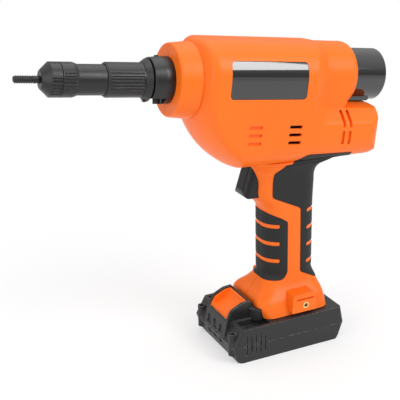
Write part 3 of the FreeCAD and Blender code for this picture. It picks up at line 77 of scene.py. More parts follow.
class Graph:
    """Adds nodes to one node tree and joins them."""

    def __init__(self, tree: bpy.types.NodeTree) -> None:
        """Empties the tree.

        Args:
            tree: The node tree of a material, a world or a group.
        """
        self.tree = tree
        tree.nodes.clear()

    def node(self, kind: str, inputs: dict | None = None, **settings: object) -> bpy.types.Node:
        """Adds one node.

        Args:
            kind: The node's type name.
            inputs: What each input gets, a constant or another node's output.
            settings: Values for the node's own properties.

        Returns:
            The new node.
        """
        made = self.tree.nodes.new(kind)
        for name, value in settings.items():
            setattr(made, name, value)
        for key, value in (inputs or {}).items():
            if isinstance(value, Socket):
                self.tree.links.new(value, made.inputs[key])
            else:
                made.inputs[key].default_value = value
        return made

    def math(self, operation: str, first: object, second: object = 0.0,
             third: object = 0.0) -> Socket:
        """Adds a math node.

        Args:
            operation: The sum to do.
            first: The first value or output.
            second: The second value or output.
            third: The third value or output.

        Returns:
            The node's output.
        """
        inputs = {0: first, 1: second, 2: third}
        return self.node("ShaderNodeMath", inputs, operation=operation).outputs[0]

    def ramp(self, value: object, low: float, high: float, to_low: float = 0.0,
             to_high: float = 1.0) -> Socket:
        """Spreads a range of values smoothly over another.

        Args:
            value: The value or output to spread.
            low: Where the range starts.
            high: Where the range ends.
            to_low: What low becomes.
            to_high: What high becomes.

        Returns:
            The node's output.
        """
        inputs = {0: value, 1: low, 2: high, 3: to_low, 4: to_high}
        return self.node("ShaderNodeMapRange", inputs, interpolation_type="SMOOTHSTEP").outputs[0]

    def mix(self, share: object, first: object, second: object) -> Socket:
        """Mixes two colours.

        Args:
            share: How much of the second colour shows.
            first: The first colour or output.
            second: The second colour or output.

        Returns:
            The node's colour output.
        """
        made = self.node("ShaderNodeMix", {0: share}, data_type="RGBA")
        for key, value in ((6, first), (7, second)):
            if isinstance(value, Socket):
                self.tree.links.new(value, made.inputs[key])
            else:
                made.inputs[key].default_value = (*value, 1.0)
        return made.outputs[2]

    def place(self) -> Socket:
        """Gives the point on the surface in the tool's own frame."""
        return self.node("ShaderNodeTexCoord").outputs["Object"]

    def split(self, vector: object) -> bpy.types.NodeOutputs:
        """Gives a vector's x, y and z as three outputs."""
        return self.node("ShaderNodeSeparateXYZ", {0: vector}).outputs

    def join(self, source: Socket, target: Socket) -> None:
        """Links an output to an input."""
        self.tree.links.new(source, target)

    def noise(self, where: object, scale: object, detail: float = 2.0,
              rough: float = 0.5) -> Socket:
        """Adds a noise pattern.

        Args:
            where: The coordinate that it is read at.
            scale: How many lumps there are to a metre.
            detail: How many finer layers it has.
            rough: How strong the finer layers are.

        Returns:
            The noise value, about 0.5 on average.
        """
        inputs = {"Vector": where, "Scale": scale, "Detail": detail, "Roughness": rough}
        return self.node("ShaderNodeTexNoise", inputs).outputs[0]


def new_group(name: str, inputs: dict[str, object],
              outputs: dict[str, str]) -> tuple[Graph, bpy.types.Node, bpy.types.Node]:
    """Starts a shader node group with named sockets.

    Args:
        name: The group's name.
        inputs: Each input's name and its default, a number or a colour.
        outputs: Each output's name and its socket type.

    Returns:
        The group's graph, its input node and its output node.
    """
    tree = bpy.data.node_groups.new(name, "ShaderNodeTree")
    graph = Graph(tree)
    for key, value in inputs.items():
        kind = "NodeSocketFloat" if isinstance(value, float) else "NodeSocketColor"
        socket = tree.interface.new_socket(key, in_out="INPUT", socket_type=kind)
        socket.default_value = value if isinstance(value, float) else (*value, 1.0)
    for key, kind in outputs.items():
        tree.interface.new_socket(key, in_out="OUTPUT", socket_type=kind)
    return graph, graph.node("NodeGroupInput"), graph.node("NodeGroupOutput")


@dataclass
class Effects:
    """The surface effects that several materials share, each a node group built once."""

    round_samples: int = 6
    # How far an edge's rounded normal must turn, and in what patches, for the edge to take edge wear
    # and painted edge highlight.
    wear_and_highlight_turn: Span = (0.995, 0.9)
    wear_and_highlight_scale: float = 420.0
    wear_and_highlight_patch: Span = (0.42, 0.62)
    lump_scale: float = 160.0
    drift_scale: float = 14.0
    drift_patch: Span = (0.35, 0.68)
    dust_upward: Span = (0.1, 1.0)
    dust_scale: float = 900.0
    dust_patch: Span = (0.3, 0.7)
    dust_colour: Colour = (0.42, 0.40, 0.37)
    gloss_scale: float = 60.0
    hair_stretch: Place = (40.0, 600.0, 900.0)
    hair_turn: Place = (0.3, 0.4, 0.2)
    hair_scale: float = 3.0
    hair_patch: Span = (0.6, 0.72)
    hair_share: float = 0.35

    def __post_init__(self) -> None:
        """Builds the groups."""
        self.edges = self.build_edges()
        self.grain = self.build_grain()
        self.drift = self.build_drift()
        self.scuffs = self.build_scuffs()
        self.turning = self.build_turning()

    def build_edges(self) -> bpy.types.ShaderNodeTree:
        """Builds the rounding of sharp edges and the mask of their edge wear and painted edge
        highlight.

        Returns:
            The group: Radius and the strength of edge wear and painted highlight in, Normal and
                their mask out.
        """
        outputs = {"Normal": "NodeSocketVector", "WearAndHighlightMask": "NodeSocketFloat"}
        graph, start, end = new_group("soft_edges", {"Radius": 0.0005, "WearAndHighlightStrength": 0.0}, outputs)
        bevel = graph.node("ShaderNodeBevel", {"Radius": start.outputs["Radius"]},
                           samples=self.round_samples)
        flat = graph.node("ShaderNodeNewGeometry").outputs["Normal"]
        # Painted edge highlight, partly wear: where the rounded normal turns from the flat one, in
        # patches, the edge takes a lighter colour.
        alike = graph.node("ShaderNodeVectorMath", {0: bevel.outputs[0], 1: flat},
                           operation="DOT_PRODUCT")
        turned = graph.ramp(alike.outputs["Value"], *self.wear_and_highlight_turn)
        patchy = graph.ramp(graph.noise(graph.place(), self.wear_and_highlight_scale, 4.0), *self.wear_and_highlight_patch)
        both = graph.math("MULTIPLY", turned, patchy)
        wear_and_highlight_mask = graph.math("MULTIPLY", both, start.outputs["WearAndHighlightStrength"])
        graph.join(bevel.outputs[0], end.inputs["Normal"])
        graph.join(wear_and_highlight_mask, end.inputs["WearAndHighlightMask"])
        return graph.tree

    def build_grain(self) -> bpy.types.ShaderNodeTree:
        """Builds the fine spark eroded grain of moulded plastic and rubber.

        Returns:
            The group: Fineness and Lumps in, Height out.
        """
        inputs = {"Fineness": 1800.0, "Lumps": 0.3}
        graph, start, end = new_group("mould_grain", inputs, {"Height": "NodeSocketFloat"})
        where = graph.place()
        fine = graph.noise(where, start.outputs["Fineness"], 3.0)
        wide = graph.noise(where, self.lump_scale, 2.0)
        lumps = graph.math("MULTIPLY", wide, start.outputs["Lumps"])
        graph.join(graph.math("ADD", fine, lumps), end.inputs["Height"])
        return graph.tree

    def build_drift(self) -> bpy.types.ShaderNodeTree:
        """Builds the slow wandering of a colour and the dust that settles on what faces up.

        Returns:
            The group: Colour, Tint, Amount and Dust in, Colour out.
        """
        inputs = {"Colour": (0.5, 0.5, 0.5), "Tint": (0.6, 0.6, 0.6), "Amount": 0.1, "Dust": 0.0}
        graph, start, end = new_group("tone_drift", inputs, {"Colour": "NodeSocketColor"})
        where = graph.place()
        slow = graph.ramp(graph.noise(where, self.drift_scale, 3.0), *self.drift_patch)
        share = graph.math("MULTIPLY", slow, start.outputs["Amount"])
        wandered = graph.mix(share, start.outputs["Colour"], start.outputs["Tint"])
        upward = graph.split(graph.node("ShaderNodeNewGeometry").outputs["Normal"])[2]
        specks = graph.ramp(graph.noise(where, self.dust_scale, 4.0), *self.dust_patch)
        settled = graph.math("MULTIPLY", graph.ramp(upward, *self.dust_upward), specks)
        dust = graph.math("MULTIPLY", settled, start.outputs["Dust"])
        graph.join(graph.mix(dust, wandered, self.dust_colour), end.inputs["Colour"])
        return graph.tree

    def build_scuffs(self) -> bpy.types.ShaderNodeTree:
        """Builds the small uneven patches and hair scratches in a surface's gloss.

        Returns:
            The group: Rough and Spread in, Rough out.
        """
        inputs = {"Rough": 0.4, "Spread": 0.1}
        graph, start, end = new_group("gloss_scuffs", inputs, {"Rough": "NodeSocketFloat"})
        where = graph.place()
        patches = graph.math("SUBTRACT", graph.noise(where, self.gloss_scale, 4.0, 0.6), 0.5)
        stretch = {"Vector": where, "Scale": self.hair_stretch, "Rotation": self.hair_turn}
        stretched = graph.node("ShaderNodeMapping", stretch).outputs[0]
        hairs = graph.ramp(graph.noise(stretched, self.hair_scale, 2.0), *self.hair_patch)
        both = graph.math("ADD", patches, graph.math("MULTIPLY", hairs, self.hair_share))
        rough = graph.math("MULTIPLY_ADD", both, start.outputs["Spread"], start.outputs["Rough"])
        graph.join(rough, end.inputs["Rough"])
        return graph.tree

    def build_turning(self) -> bpy.types.ShaderNodeTree:
        """Builds the fine rings that a lathe leaves around the barrel's axis.

        Returns:
            The group: Pitch in, Height out.
        """
        inputs = {"Pitch": 0.0003}
        graph, start, end = new_group("turning_rings", inputs, {"Height": "NodeSocketFloat"})
        level = graph.split(graph.place())
        above = graph.math("SUBTRACT", level[2], AXIS_HEIGHT)
        along = graph.math("SUBTRACT", graph.math("MULTIPLY", level[0], math.cos(NOSE_UP)),
                           graph.math("MULTIPLY", above, math.sin(NOSE_UP)))
        turns = graph.math("DIVIDE", along, start.outputs["Pitch"])
        line = graph.node("ShaderNodeCombineXYZ", {0: turns})
        graph.join(graph.noise(line.outputs[0], 1.0, 2.0), end.inputs["Height"])
        return graph.tree


@dataclass(frozen=True)
class Finish:
    """How one kind of surface looks. The base class is moulded plastic or rubber."""

    name: str
    colour: Colour
    tint: Colour
    rough: float = 0.45
    spread: float = 0.08
    specular: float = 0.5
    metal: float = 0.0
    coat: float = 0.0
    coat_rough: float = 0.08
    drift: float = 0.25
    dust: float = 0.0
    fineness: float = 1800.0
    lumps: float = 0.3
    grain_depth: float = 0.00003
    edge: float = 0.0005
    # The strength and colour of edge wear and painted edge highlight: sharp edges turn partly to
    # this lighter colour, which stands for both wear and a highlight.
    wear: float = 0.0
    wear_and_highlight_colour: Colour = (0.5, 0.5, 0.5)

    def group(self, graph: Graph, tree: bpy.types.ShaderNodeTree, inputs: dict) -> bpy.types.Node:
        """Places a shared effect in the material.

        Args:
            graph: The material's graph.
            tree: The effect's node group.
            inputs: What each of its inputs gets.

        Returns:
            The group node.
        """
        made = graph.node("ShaderNodeGroup")
        made.node_tree = tree
        for key, value in inputs.items():
            if isinstance(value, Socket):
                graph.tree.links.new(value, made.inputs[key])
            elif isinstance(value, tuple):
                made.inputs[key].default_value = (*value, 1.0)
            else:
                made.inputs[key].default_value = value
        return made

    def paint(self, graph: Graph, effects: Effects) -> Socket:
        """Gives the surface's colour before the edge wear and painted edge highlight go on.

        Args:
            graph: The material's graph.
            effects: The shared effects.

        Returns:
            The colour output.
        """
        inputs = {"Colour": self.colour, "Tint": self.tint, "Amount": self.drift, "Dust": self.dust}
        return self.group(graph, effects.drift, inputs).outputs["Colour"]

    def relief(self, graph: Graph, effects: Effects) -> Socket:
        """Gives the height of the surface's fine relief.

        Args:
            graph: The material's graph.
            effects: The shared effects.

        Returns:
            The height output.
        """
        inputs = {"Fineness": self.fineness, "Lumps": self.lumps}
        return self.group(graph, effects.grain, inputs).outputs["Height"]

    def gloss(self, graph: Graph, effects: Effects) -> Socket:
        """Gives the surface's roughness.

        Args:
            graph: The material's graph.
            effects: The shared effects.

        Returns:
            The roughness output.
        """
        inputs = {"Rough": self.rough, "Spread": self.spread}
        return self.group(graph, effects.scuffs, inputs).outputs["Rough"]

    def build(self, effects: Effects) -> bpy.types.Material:
        """Makes the material.

        Args:
            effects: The shared effects.

        Returns:
            The material.
        """
        material = bpy.data.materials.new(self.name)
        material.use_nodes = True
        graph = Graph(material.node_tree)
        edges = self.group(graph, effects.edges, {"Radius": self.edge, "WearAndHighlightStrength": self.wear})
        # Sharp edges turn lighter here: partly wear, partly a painted highlight.
        colour = graph.mix(edges.outputs["WearAndHighlightMask"], self.paint(graph, effects), self.wear_and_highlight_colour)
        bump = graph.node("ShaderNodeBump", {
            "Strength": 1.0,
            "Distance": self.grain_depth,
            "Height": self.relief(graph, effects),
            "Normal": edges.outputs["Normal"],
        })
        shader = graph.node("ShaderNodeBsdfPrincipled", {
            "Base Color": colour,
            "Roughness": self.gloss(graph, effects),
            "Metallic": self.metal,
            "Specular IOR Level": self.specular,
            "Coat Weight": self.coat,
            "Coat Roughness": self.coat_rough,
            "Normal": bump.outputs[0],
        })
        graph.node("ShaderNodeOutputMaterial", {"Surface": shader.outputs[0]})
        material.diffuse_color = (*self.colour, 1.0)
        return material


@dataclass(frozen=True)
class Turned(Finish):
    """Metal that was turned on a lathe, with its fine rings."""

    pitch: float = 0.00025

    def relief(self, graph: Graph, effects: Effects) -> Socket:
        """Gives the height of the lathe's rings.

        Args:
            graph: The material's graph.
            effects: The shared effects.

        Returns:
            The height output.
        """
        return self.group(graph, effects.turning, {"Pitch": self.pitch}).outputs["Height"]


@dataclass(frozen=True)
class PackPlastic(Finish):
    """The battery's plastic: dull and grained all over, with a smooth dark arch at its front."""

    arch: Colour = (0.02, 0.02, 0.02)
    arch_rough: float = 0.22
    arch_rear: float = -27.0 * MM
    arch_half: float = 19.5 * MM
    arch_low: float = 31.0 * MM

    def arch_mask(self, graph: Graph) -> Socket:
        """Marks the arch.

        Args:
            graph: The material's graph.

        Returns:
            A mask that is 1 on the arch.
        """
        level = graph.split(graph.place())
        ahead = graph.math("LESS_THAN", level[0], self.arch_rear)
        inside = graph.math("LESS_THAN", graph.math("ABSOLUTE", level[1]), self.arch_half)
        above = graph.math("GREATER_THAN", level[2], self.arch_low)
        return graph.math("MULTIPLY", graph.math("MULTIPLY", ahead, inside), above)

    def paint(self, graph: Graph, effects: Effects) -> Socket:
        """Gives the colour, darker on the arch.

        Args:
            graph: The material's graph.
            effects: The shared effects.

        Returns:
            The colour output.
        """
        return graph.mix(self.arch_mask(graph), super().paint(graph, effects), self.arch)

    def gloss(self, graph: Graph, effects: Effects) -> Socket:
        """Gives the roughness, lower on the arch.

        Args:
            graph: The material's graph.
            effects: The shared effects.

        Returns:
            The roughness output.
        """
        smoother = graph.math("MULTIPLY", self.arch_mask(graph), self.arch_rough - self.rough)
        return graph.math("ADD", super().gloss(graph, effects), smoother)


@dataclass(frozen=True)
class CellWrap(Finish):
    """A battery cell's shrink wrap, with its bare metal ends."""

    wrap_end: float = 32.3 * MM
    bare: Colour = (0.55, 0.54, 0.52)

    def paint(self, graph: Graph, effects: Effects) -> Socket:
        """Gives the wrap's colour, and bare metal at both ends.

        Args:
            graph: The material's graph.
            effects: The shared effects.

        Returns:
            The colour output.
        """
        across = graph.math("ABSOLUTE", graph.split(graph.place())[1])
        ends = graph.math("GREATER_THAN", across, self.wrap_end)
        return graph.mix(ends, super().paint(graph, effects), self.bare)


# Each finish's lighter edge colour is partly wear and partly a painted edge highlight. The battery's
# pack plastic carries the strongest painted highlight.
FINISHES: dict[str, Finish] = {
    finish.name: finish
    for finish in (
        Finish("orange_shell", (0.95, 0.158, 0.006), (0.97, 0.18, 0.009), rough=0.40, spread=0.06,
               specular=0.3, drift=0.4, fineness=1500.0, grain_depth=0.000012, edge=0.0006,
               wear=0.25, wear_and_highlight_colour=(1.0, 0.32, 0.09)),
        Finish("rubber_pads", (0.015, 0.016, 0.016), (0.021, 0.021, 0.021), rough=0.6, spread=0.1,
               specular=0.32, fineness=2200.0, grain_depth=0.00005, dust=0.05, edge=0.0007,
               wear=0.3, wear_and_highlight_colour=(0.09, 0.09, 0.09)),
        Finish("gloss_black", (0.006, 0.006, 0.006), (0.009, 0.009, 0.009), rough=0.08,
               spread=0.04, specular=0.95, coat=0.2, coat_rough=0.04, fineness=700.0, lumps=0.6,
               grain_depth=0.000002, edge=0.0004, wear=0.2, wear_and_highlight_colour=(0.08, 0.08, 0.08)),
        Finish("satin_black", (0.009, 0.009, 0.009), (0.014, 0.014, 0.014), rough=0.34,
               spread=0.1, specular=0.35, fineness=2000.0, grain_depth=0.00002, edge=0.0006,
               wear=0.35, wear_and_highlight_colour=(0.10, 0.10, 0.10)),
        PackPlastic("pack_plastic", (0.021, 0.021, 0.022), (0.029, 0.029, 0.030), rough=0.48,
                    spread=0.1, specular=0.4, fineness=1500.0, grain_depth=0.00004, dust=0.03,
                    edge=0.0006, wear=0.9, wear_and_highlight_colour=(0.24, 0.24, 0.24)),
        Turned("black_steel", (0.007, 0.007, 0.007), (0.012, 0.012, 0.012), rough=0.34,
               spread=0.16, specular=0.5, grain_depth=0.000006, edge=0.0003, wear=0.6,
               wear_and_highlight_colour=(0.13, 0.13, 0.13)),
        Turned("bright_steel", (0.56, 0.56, 0.57), (0.46, 0.46, 0.47), rough=0.24, spread=0.12,
               metal=1.0, grain_depth=0.000004, edge=0.0003),
        Finish("gear_steel", (0.34, 0.34, 0.35), (0.26, 0.26, 0.27), rough=0.38, spread=0.14,
               metal=1.0, grain_depth=0.000008, edge=0.0002, wear=0.5, wear_and_highlight_colour=(0.6, 0.6, 0.6)),
        Finish("cast_alloy", (0.52, 0.53, 0.54), (0.42, 0.43, 0.44), rough=0.55, spread=0.12,
               metal=1.0, fineness=900.0, grain_depth=0.00006, edge=0.0005),
        Finish("zinc_screws", (0.50, 0.50, 0.52), (0.42, 0.42, 0.45), rough=0.3, spread=0.1,
               metal=1.0, edge=0.0002),
        Finish("brass", (0.90, 0.70, 0.34), (0.82, 0.60, 0.28), rough=0.32, spread=0.12,
               metal=1.0, grain_depth=0.000005, edge=0.00008),
        Finish("copper_contacts", (0.78, 0.55, 0.42), (0.70, 0.48, 0.36), rough=0.28, spread=0.1,
               metal=1.0, edge=0.0002),
        Finish("motor_steel", (0.48, 0.49, 0.50), (0.40, 0.41, 0.43), rough=0.34, spread=0.12,
               metal=1.0, edge=0.0004),
        Finish("magnet_dark", (0.05, 0.05, 0.055), (0.07, 0.07, 0.075), rough=0.55, spread=0.1,
               edge=0.0003),
        Finish("carbon", (0.03, 0.03, 0.032), (0.05, 0.05, 0.052), rough=0.6, spread=0.1,
               edge=0.0002),
        Finish("fan_plastic", (0.55, 0.55, 0.53), (0.48, 0.48, 0.46), rough=0.5, edge=0.0004),
        Finish("switch_plastic", (0.03, 0.03, 0.032), (0.04, 0.04, 0.042), rough=0.45,
               edge=0.0004),
        Finish("board_green", (0.02, 0.13, 0.06), (0.03, 0.17, 0.08), rough=0.35, coat=0.4,
               fineness=600.0, edge=0.0002),
        CellWrap("cell_wrap", (0.05, 0.28, 0.33), (0.07, 0.33, 0.38), rough=0.32, coat=0.3,
                 edge=0.0004),
        Finish("frame_plastic", (0.60, 0.60, 0.58), (0.52, 0.52, 0.50), rough=0.5, edge=0.0003),
    )
}


@dataclass
class Wardrobe:
    """Builds each finish once and dresses pieces in them."""

    effects: Effects
    made: dict[str, bpy.types.Material] = field(default_factory=dict)

    def finish(self, name: str) -> bpy.types.Material:
        """Gives the material of a finish.

        Args:
            name: The finish's name.

        Returns:
            The material, made when it is first asked for.
        """
        if name not in self.made:
            self.made[name] = FINISHES[name].build(self.effects)
        return self.made[name]

    def dress(self, piece: bpy.types.Object, name: str) -> None:
        """Gives a piece one finish all over.

        Args:
            piece: The piece to dress.
            name: The finish's name.
        """
        piece.data.materials.clear()
        piece.data.materials.append(self.finish(name))


@dataclass
class Mandrel:
    """The threaded mandrel that draws a rivet nut, with its hexagon head hidden in the spindle."""

    radius: float = 3.0 * MM
    tip: float = -209.8 * MM
    thread_end: float = -193.6 * MM
    shank: float = 2.7 * MM
    head: float = -150.0 * MM
    head_long: float = 7.0 * MM
    head_radius: float = 6.2 * MM
    pitch: float = 1.75 * MM
    thread_deep: float = 0.5 * MM
    flank: float = 2.6
    root_width: float = 0.25
    tip_chamfer: float = 0.8 * MM
    thread_stop: float = 0.3 * MM
    around: int = 64
    steps: int = 14

    def surface(self, x: float, angle: float) -> float:
        """Gives the radius at one place.

        Args:
            x: The place along the spindle axis.
            angle: The angle around it.

        Returns:
            The radius there.
        """
        if x >= self.thread_end:
            return self.shank
        phase = (x / self.pitch - angle / math.tau) % 1.0
        tooth = min(1.0, max(0.0, abs(phase - 0.5) * self.flank - self.root_width))
        fade = min(1.0, (self.thread_end - x) / self.pitch)
        chamfer = max(0.0, self.tip + self.tip_chamfer - x)
        return self.radius - self.thread_deep * fade * (1.0 - tooth) - chamfer

    def hexagon(self, _x: float, angle: float) -> float:
        """Gives the radius of the hexagon head at one angle."""
        side = angle % (math.pi / 3) - math.pi / 6
        return self.head_radius * math.cos(math.pi / 6) / math.cos(side)

    def ring(self, mesh: bmesh.types.BMesh, x: float,
             outline: Callable[[float, float], float]) -> list[bmesh.types.BMVert]:
        """Adds one ring of points around the spindle axis.

        Args:
            mesh: The mesh under construction.
            x: The ring's place along the axis.
            outline: Gives the radius at a place and an angle.

        Returns:
            The ring's points in order.
        """
        points = []
        for i in range(self.around):
            angle = math.tau * i / self.around
            radius = outline(x, angle)
            place = (x, radius * math.cos(angle), radius * math.sin(angle))
            points.append(mesh.verts.new(place))
        return points

    def build(self) -> bpy.types.Object:
        """Makes the mandrel's mesh.

        Returns:
            The mandrel, in the tool's frame.
        """
        mesh = bmesh.new()
        step = self.pitch / self.steps
        count = round((self.thread_end - self.tip) / step)
        places = [self.tip + step * i for i in range(count + 1)]
        places += [self.thread_end + self.thread_stop, self.head]
        rings = [self.ring(mesh, x, self.surface) for x in places]
        rings += [self.ring(mesh, x, self.hexagon) for x in (self.head, self.head + self.head_long)]
        for first, second in zip(rings, rings[1:]):
            for i in range(self.around):
                j = (i + 1) % self.around
                mesh.faces.new((first[i], first[j], second[j], second[i]))
        mesh.faces.new(rings[0][::-1])
        mesh.faces.new(rings[-1])
        return finished(mesh, "mandrel_rod", BARREL)


def smooth(mesh: bpy.types.Mesh, crease: float) -> None:
    """Shades a mesh smooth but keeps its creases sharp.

    Args:
        mesh: The mesh.
        crease: The angle between two faces from which their edge is sharp.
    """
    mesh.polygons.foreach_set("use_smooth", [True] * len(mesh.polygons))
    mesh.set_sharp_from_angle(angle=crease)


def finished(mesh: bmesh.types.BMesh, name: str, place: Matrix) -> bpy.types.Object:
    """Turns a mesh under construction into a smooth shaded object.

    Args:
        mesh: The mesh, which is freed.
        name: The object's name.
        place: Where the mesh's own frame lies in the tool's.

    Returns:
        The object.
    """
    bmesh.ops.recalc_face_normals(mesh, faces=mesh.faces)
    mesh.transform(place)
    data = bpy.data.meshes.new(name)
    mesh.to_mesh(data)
    mesh.free()
    smooth(data, DRAWN_CREASE)
    made = bpy.data.objects.new(name, data)
    bpy.context.scene.collection.objects.link(made)
    return made


@dataclass
class SubAssembly:
    """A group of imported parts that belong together. Each kind says which finish its parts wear."""

    wardrobe: Wardrobe
    nodes: dict[str, bpy.types.Object]
    crease: float = math.radians(28.0)

    def wear(self, finish: str, *parts: str) -> None:
        """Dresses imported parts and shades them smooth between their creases.

        Args:
            finish: The finish's name.
            parts: The parts' names.
        """
        for part in parts:
            piece = self.nodes[part]
            self.wardrobe.dress(piece, finish)
            smooth(piece.data, self.crease)
            LOG.info("%s wears %s", part, finish)

    def build(self) -> None:
        """Builds and dresses the sub-assembly."""
        raise NotImplementedError


@dataclass
class Housing(SubAssembly):
    """The orange clamshell with its pads, plates, rear cover, screws and hook inserts."""

    def build(self) -> None:
        """Dresses the clamshell and what is fixed to it."""
        self.wear("orange_shell", "housing_left", "housing_right")
        self.wear("rubber_pads", "grip_pads_left", "grip_pads_right")
        self.wear("gloss_black", "side_plate_left", "side_plate_right", "rear_cover")
        self.wear("zinc_screws", "housing_screws")
        self.wear("brass", "hook_inserts")


@dataclass
class Works(SubAssembly):
    """The gear case and everything that turns in it, from the pinion to the drawn spindle."""

    def build(self) -> None:
        """Dresses the cases, the gears, the ball screw and the bearings."""
        self.wear("cast_alloy", "gear_case_front", "gear_case_rear")
        self.wear("zinc_screws", "gear_case_screws")
        self.wear("gear_steel", "drive_gear", "planet_carrier", "planet_gear_1", "planet_gear_2",
                  "planet_gear_3", "ring_gear", "motor_pinion", "gear_case_bearings")
        self.wear("bright_steel", "draw_spindle", "anti_turn_pin", "ball_screw", "ball_nut",
                  "thrust_washer_rear", "thrust_washer_front", "thrust_balls")
        self.wear("brass", "thrust_cage")


@dataclass
class Motor(SubAssembly):
    """The brushed motor behind the gears."""

    def build(self) -> None:
        """Dresses the can, the rotor, the brushes and the fan."""
        self.wear("motor_steel", "motor_can")
        self.wear("magnet_dark", "motor_magnets")
        self.wear("gear_steel", "motor_rotor")
        self.wear("bright_steel", "motor_shaft")
        self.wear("carbon", "motor_brushes")
        self.wear("brass", "motor_bushes")
        self.wear("fan_plastic", "motor_fan")
        self.wear("switch_plastic", "motor_end_cap")


@dataclass
class TriggerUnit(SubAssembly):
    """The trigger, its switch, the control board and the contacts in the grip's foot."""

    def build(self) -> None:
        """Dresses the trigger and the electrics."""
        self.wear("satin_black", "trigger")
        self.wear("zinc_screws", "trigger_spring")
        self.wear("switch_plastic", "trigger_switch", "terminal_block")
        self.wear("board_green", "control_board")
        self.wear("copper_contacts", "terminal_blades")


@dataclass
class BatteryPack(SubAssembly):
    """The sliding battery pack with its release button and its cells."""

    def build(self) -> None:
        """Dresses the case, the button and the inside of the pack."""
        self.wear("pack_plastic", "battery_upper_case", "battery_lower_case")
        self.wear("orange_shell", "release_button")
        self.wear("zinc_screws", "battery_screws", "button_springs")
        self.wear("cell_wrap", "battery_cells")
        self.wear("frame_plastic", "cell_frames")
        self.wear("board_green", "cell_board")
        self.wear("copper_contacts", "battery_contacts")


@dataclass
class Nose(SubAssembly):
    """The adjustable nose: collar, tube, rings, sleeve, nuts and the threaded mandrel."""

    mandrel: Mandrel = field(default_factory=Mandrel)

    def build(self) -> None:
        """Dresses the nose and builds the threaded mandrel in place of the plain one."""
        self.wear("black_steel", "front_collar", "collar_set_screws", "nose_tube",
                  "sleeve_lock_ring", "stroke_sleeve", "nose_lock_nut", "nose_piece",
                  "threaded_mandrel")
        self.wear("bright_steel", "mandrel_retainer")
        rod = self.mandrel.build()
        self.wardrobe.dress(rod, "black_steel")
        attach(rod, "mandrel")
        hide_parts("threaded_mandrel")
        LOG.info("mandrel_rod rides on mandrel")


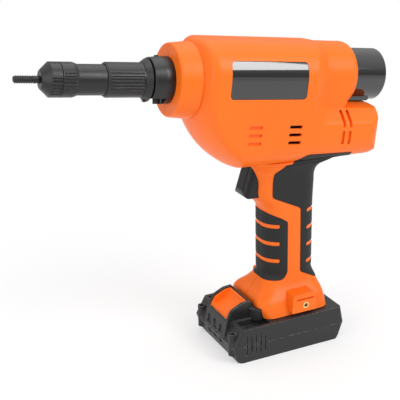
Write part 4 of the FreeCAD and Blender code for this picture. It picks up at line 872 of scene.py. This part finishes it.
@dataclass
class Studio:
    """The floor, the soft light and the camera."""

    yaw: float = math.radians(24.587)
    pitch: float = math.radians(20.352)
    roll: float = math.radians(-1.519)
    eye: Place = (-0.35406, -0.63330, 0.39668)
    focal_pixels: float = 906.67
    image_pixels: float = 400.0
    sensor: float = 36.0
    floor_half: float = 9.0
    floor_colour: Colour = (0.93, 0.93, 0.93)
    floor_shade: Colour = (0.86, 0.86, 0.87)
    floor_mottle: float = 0.04
    floor_glow: float = 0.5
    shade_reach: Span = (0.13, 0.42)
    sky_level: float = 0.62
    sky_gloss: float = 0.32
    sky_top: float = 0.8
    floor_gloss: float = 0.55
    middle: Place = (0.0, 0.0, 0.2)
    boxes: tuple[tuple[str, Place, Span, float], ...] = (
        ("front_right_box", (0.51, -0.76, 0.90), (0.40, 0.66), 7.5),
        ("top_box", (-0.05, 0.15, 1.25), (1.3, 1.0), 1.3),
        ("left_box", (-1.15, -0.45, 0.62), (0.7, 0.9), 1.8),
    )

    def camera(self) -> None:
        """Sets the camera up as the photograph was taken."""
        cy, sy = math.cos(self.yaw), math.sin(self.yaw)
        cp, sp = math.cos(self.pitch), math.sin(self.pitch)
        cr, sr = math.cos(self.roll), math.sin(self.roll)
        right = Vector((cy, -sy, 0.0))
        ahead = Vector((sy * cp, cy * cp, -sp))
        down = ahead.cross(right)
        across = cr * right - sr * down
        below = sr * right + cr * down
        data = bpy.data.cameras.new("photo_camera")
        data.sensor_width = self.sensor
        data.lens = self.focal_pixels / self.image_pixels * self.sensor
        data.clip_start = 0.01
        data.clip_end = 50.0
        camera = bpy.data.objects.new("photo_camera", data)
        turn = Matrix((across, -below, -ahead)).transposed().to_4x4()
        camera.matrix_world = Matrix.Translation(self.eye) @ turn
        bpy.context.scene.collection.objects.link(camera)
        bpy.context.scene.camera = camera

    def rays(self, graph: Graph) -> tuple[Socket, Socket]:
        """Gives the masks of what is seen straight or through glass, and of what is mirrored.

        Args:
            graph: The graph of the floor or the world.

        Returns:
            The mask of straight rays and the mask of mirrored rays.
        """
        kinds = graph.node("ShaderNodeLightPath").outputs
        direct = graph.math("MAXIMUM", kinds["Is Camera Ray"], kinds["Is Transmission Ray"])
        return direct, kinds["Is Glossy Ray"]

    def floor(self) -> None:
        """Lays the pale floor, which keeps the tool's shadow."""
        mesh = bmesh.new()
        bmesh.ops.create_grid(mesh, x_segments=4, y_segments=4, size=self.floor_half)
        floor = finished(mesh, "floor", Matrix.Identity(4))
        material = bpy.data.materials.new("studio_floor")
        material.use_nodes = True
        graph = Graph(material.node_tree)
        shade = graph.noise(graph.place(), 3.0, 2.0)
        share = graph.math("MULTIPLY", shade, self.floor_mottle)
        colour = graph.mix(share, self.floor_colour, self.floor_shade)
        matt = graph.node("ShaderNodeBsdfDiffuse", {"Color": colour})
        glow = graph.node("ShaderNodeEmission", {"Color": WHITE, "Strength": 1.0})
        away = graph.node("ShaderNodeVectorMath", {0: graph.place()}, operation="LENGTH")
        reach = graph.ramp(away.outputs["Value"], *self.shade_reach, self.floor_glow, 1.0)
        direct, glossy = self.rays(graph)
        mirrored = graph.math("MULTIPLY", glossy, self.floor_gloss)
        share = graph.math("MAXIMUM", graph.math("MULTIPLY", direct, reach), mirrored)
        both = graph.node("ShaderNodeMixShader", {0: share, 1: matt.outputs[0], 2: glow.outputs[0]})
        graph.node("ShaderNodeOutputMaterial", {"Surface": both.outputs[0]})
        floor.data.materials.append(material)

    def world(self) -> None:
        """Surrounds the tool with even white, softer as light than as a view."""
        world = bpy.data.worlds.new("studio_white")
        world.use_nodes = True
        bpy.context.scene.world = world
        graph = Graph(world.node_tree)
        direct, glossy = self.rays(graph)
        height = graph.split(graph.node("ShaderNodeTexCoord").outputs["Generated"])[2]
        above = graph.ramp(height, 0.0, self.sky_top, self.sky_gloss, 1.0)
        mirrored = graph.math("MULTIPLY", above, glossy)
        spread = graph.math("SUBTRACT", self.sky_level, glossy)
        strength = graph.math("MAXIMUM", direct, graph.math("MAXIMUM", mirrored, spread))
        back = graph.node("ShaderNodeBackground", {"Color": WHITE, "Strength": strength})
        graph.node("ShaderNodeOutputWorld", {"Surface": back.outputs[0]})

    def lamp(self, name: str, at: Place, aim: Place, size: Span, radiance: float) -> None:
        """Hangs one soft box.

        Args:
            name: The lamp's name.
            at: Where its middle hangs.
            aim: The point it faces.
            size: Its width and height.
            radiance: How bright its face is, where the white surroundings are 1.
        """
        data = bpy.data.lights.new(name, "AREA")
        data.shape = "RECTANGLE"
        data.size, data.size_y = size
        data.energy = radiance * math.pi * size[0] * size[1]
        lamp = bpy.data.objects.new(name, data)
        facing = (Vector(aim) - Vector(at)).to_track_quat("-Z", "Y")
        lamp.matrix_world = Matrix.Translation(at) @ facing.to_matrix().to_4x4()
        bpy.context.scene.collection.objects.link(lamp)

    def build(self) -> None:
        """Builds the whole studio."""
        self.camera()
        self.floor()
        self.world()
        for name, at, size, radiance in self.boxes:
            self.lamp(name, at, self.middle, size, radiance)
            LOG.info("%s hangs at %s", name, at)


def main() -> None:
    """Builds the tool's looks in order."""
    logging.basicConfig(level=logging.INFO, format="%(message)s")
    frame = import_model()
    bpy.context.scene.view_settings.view_transform = "Standard"
    wardrobe = Wardrobe(Effects())
    for kind in (Housing, Works, Motor, TriggerUnit, BatteryPack, Nose):
        kind(wardrobe, frame["nodes"]).build()
    Studio().build()


if __name__ == "__main__":
    main()
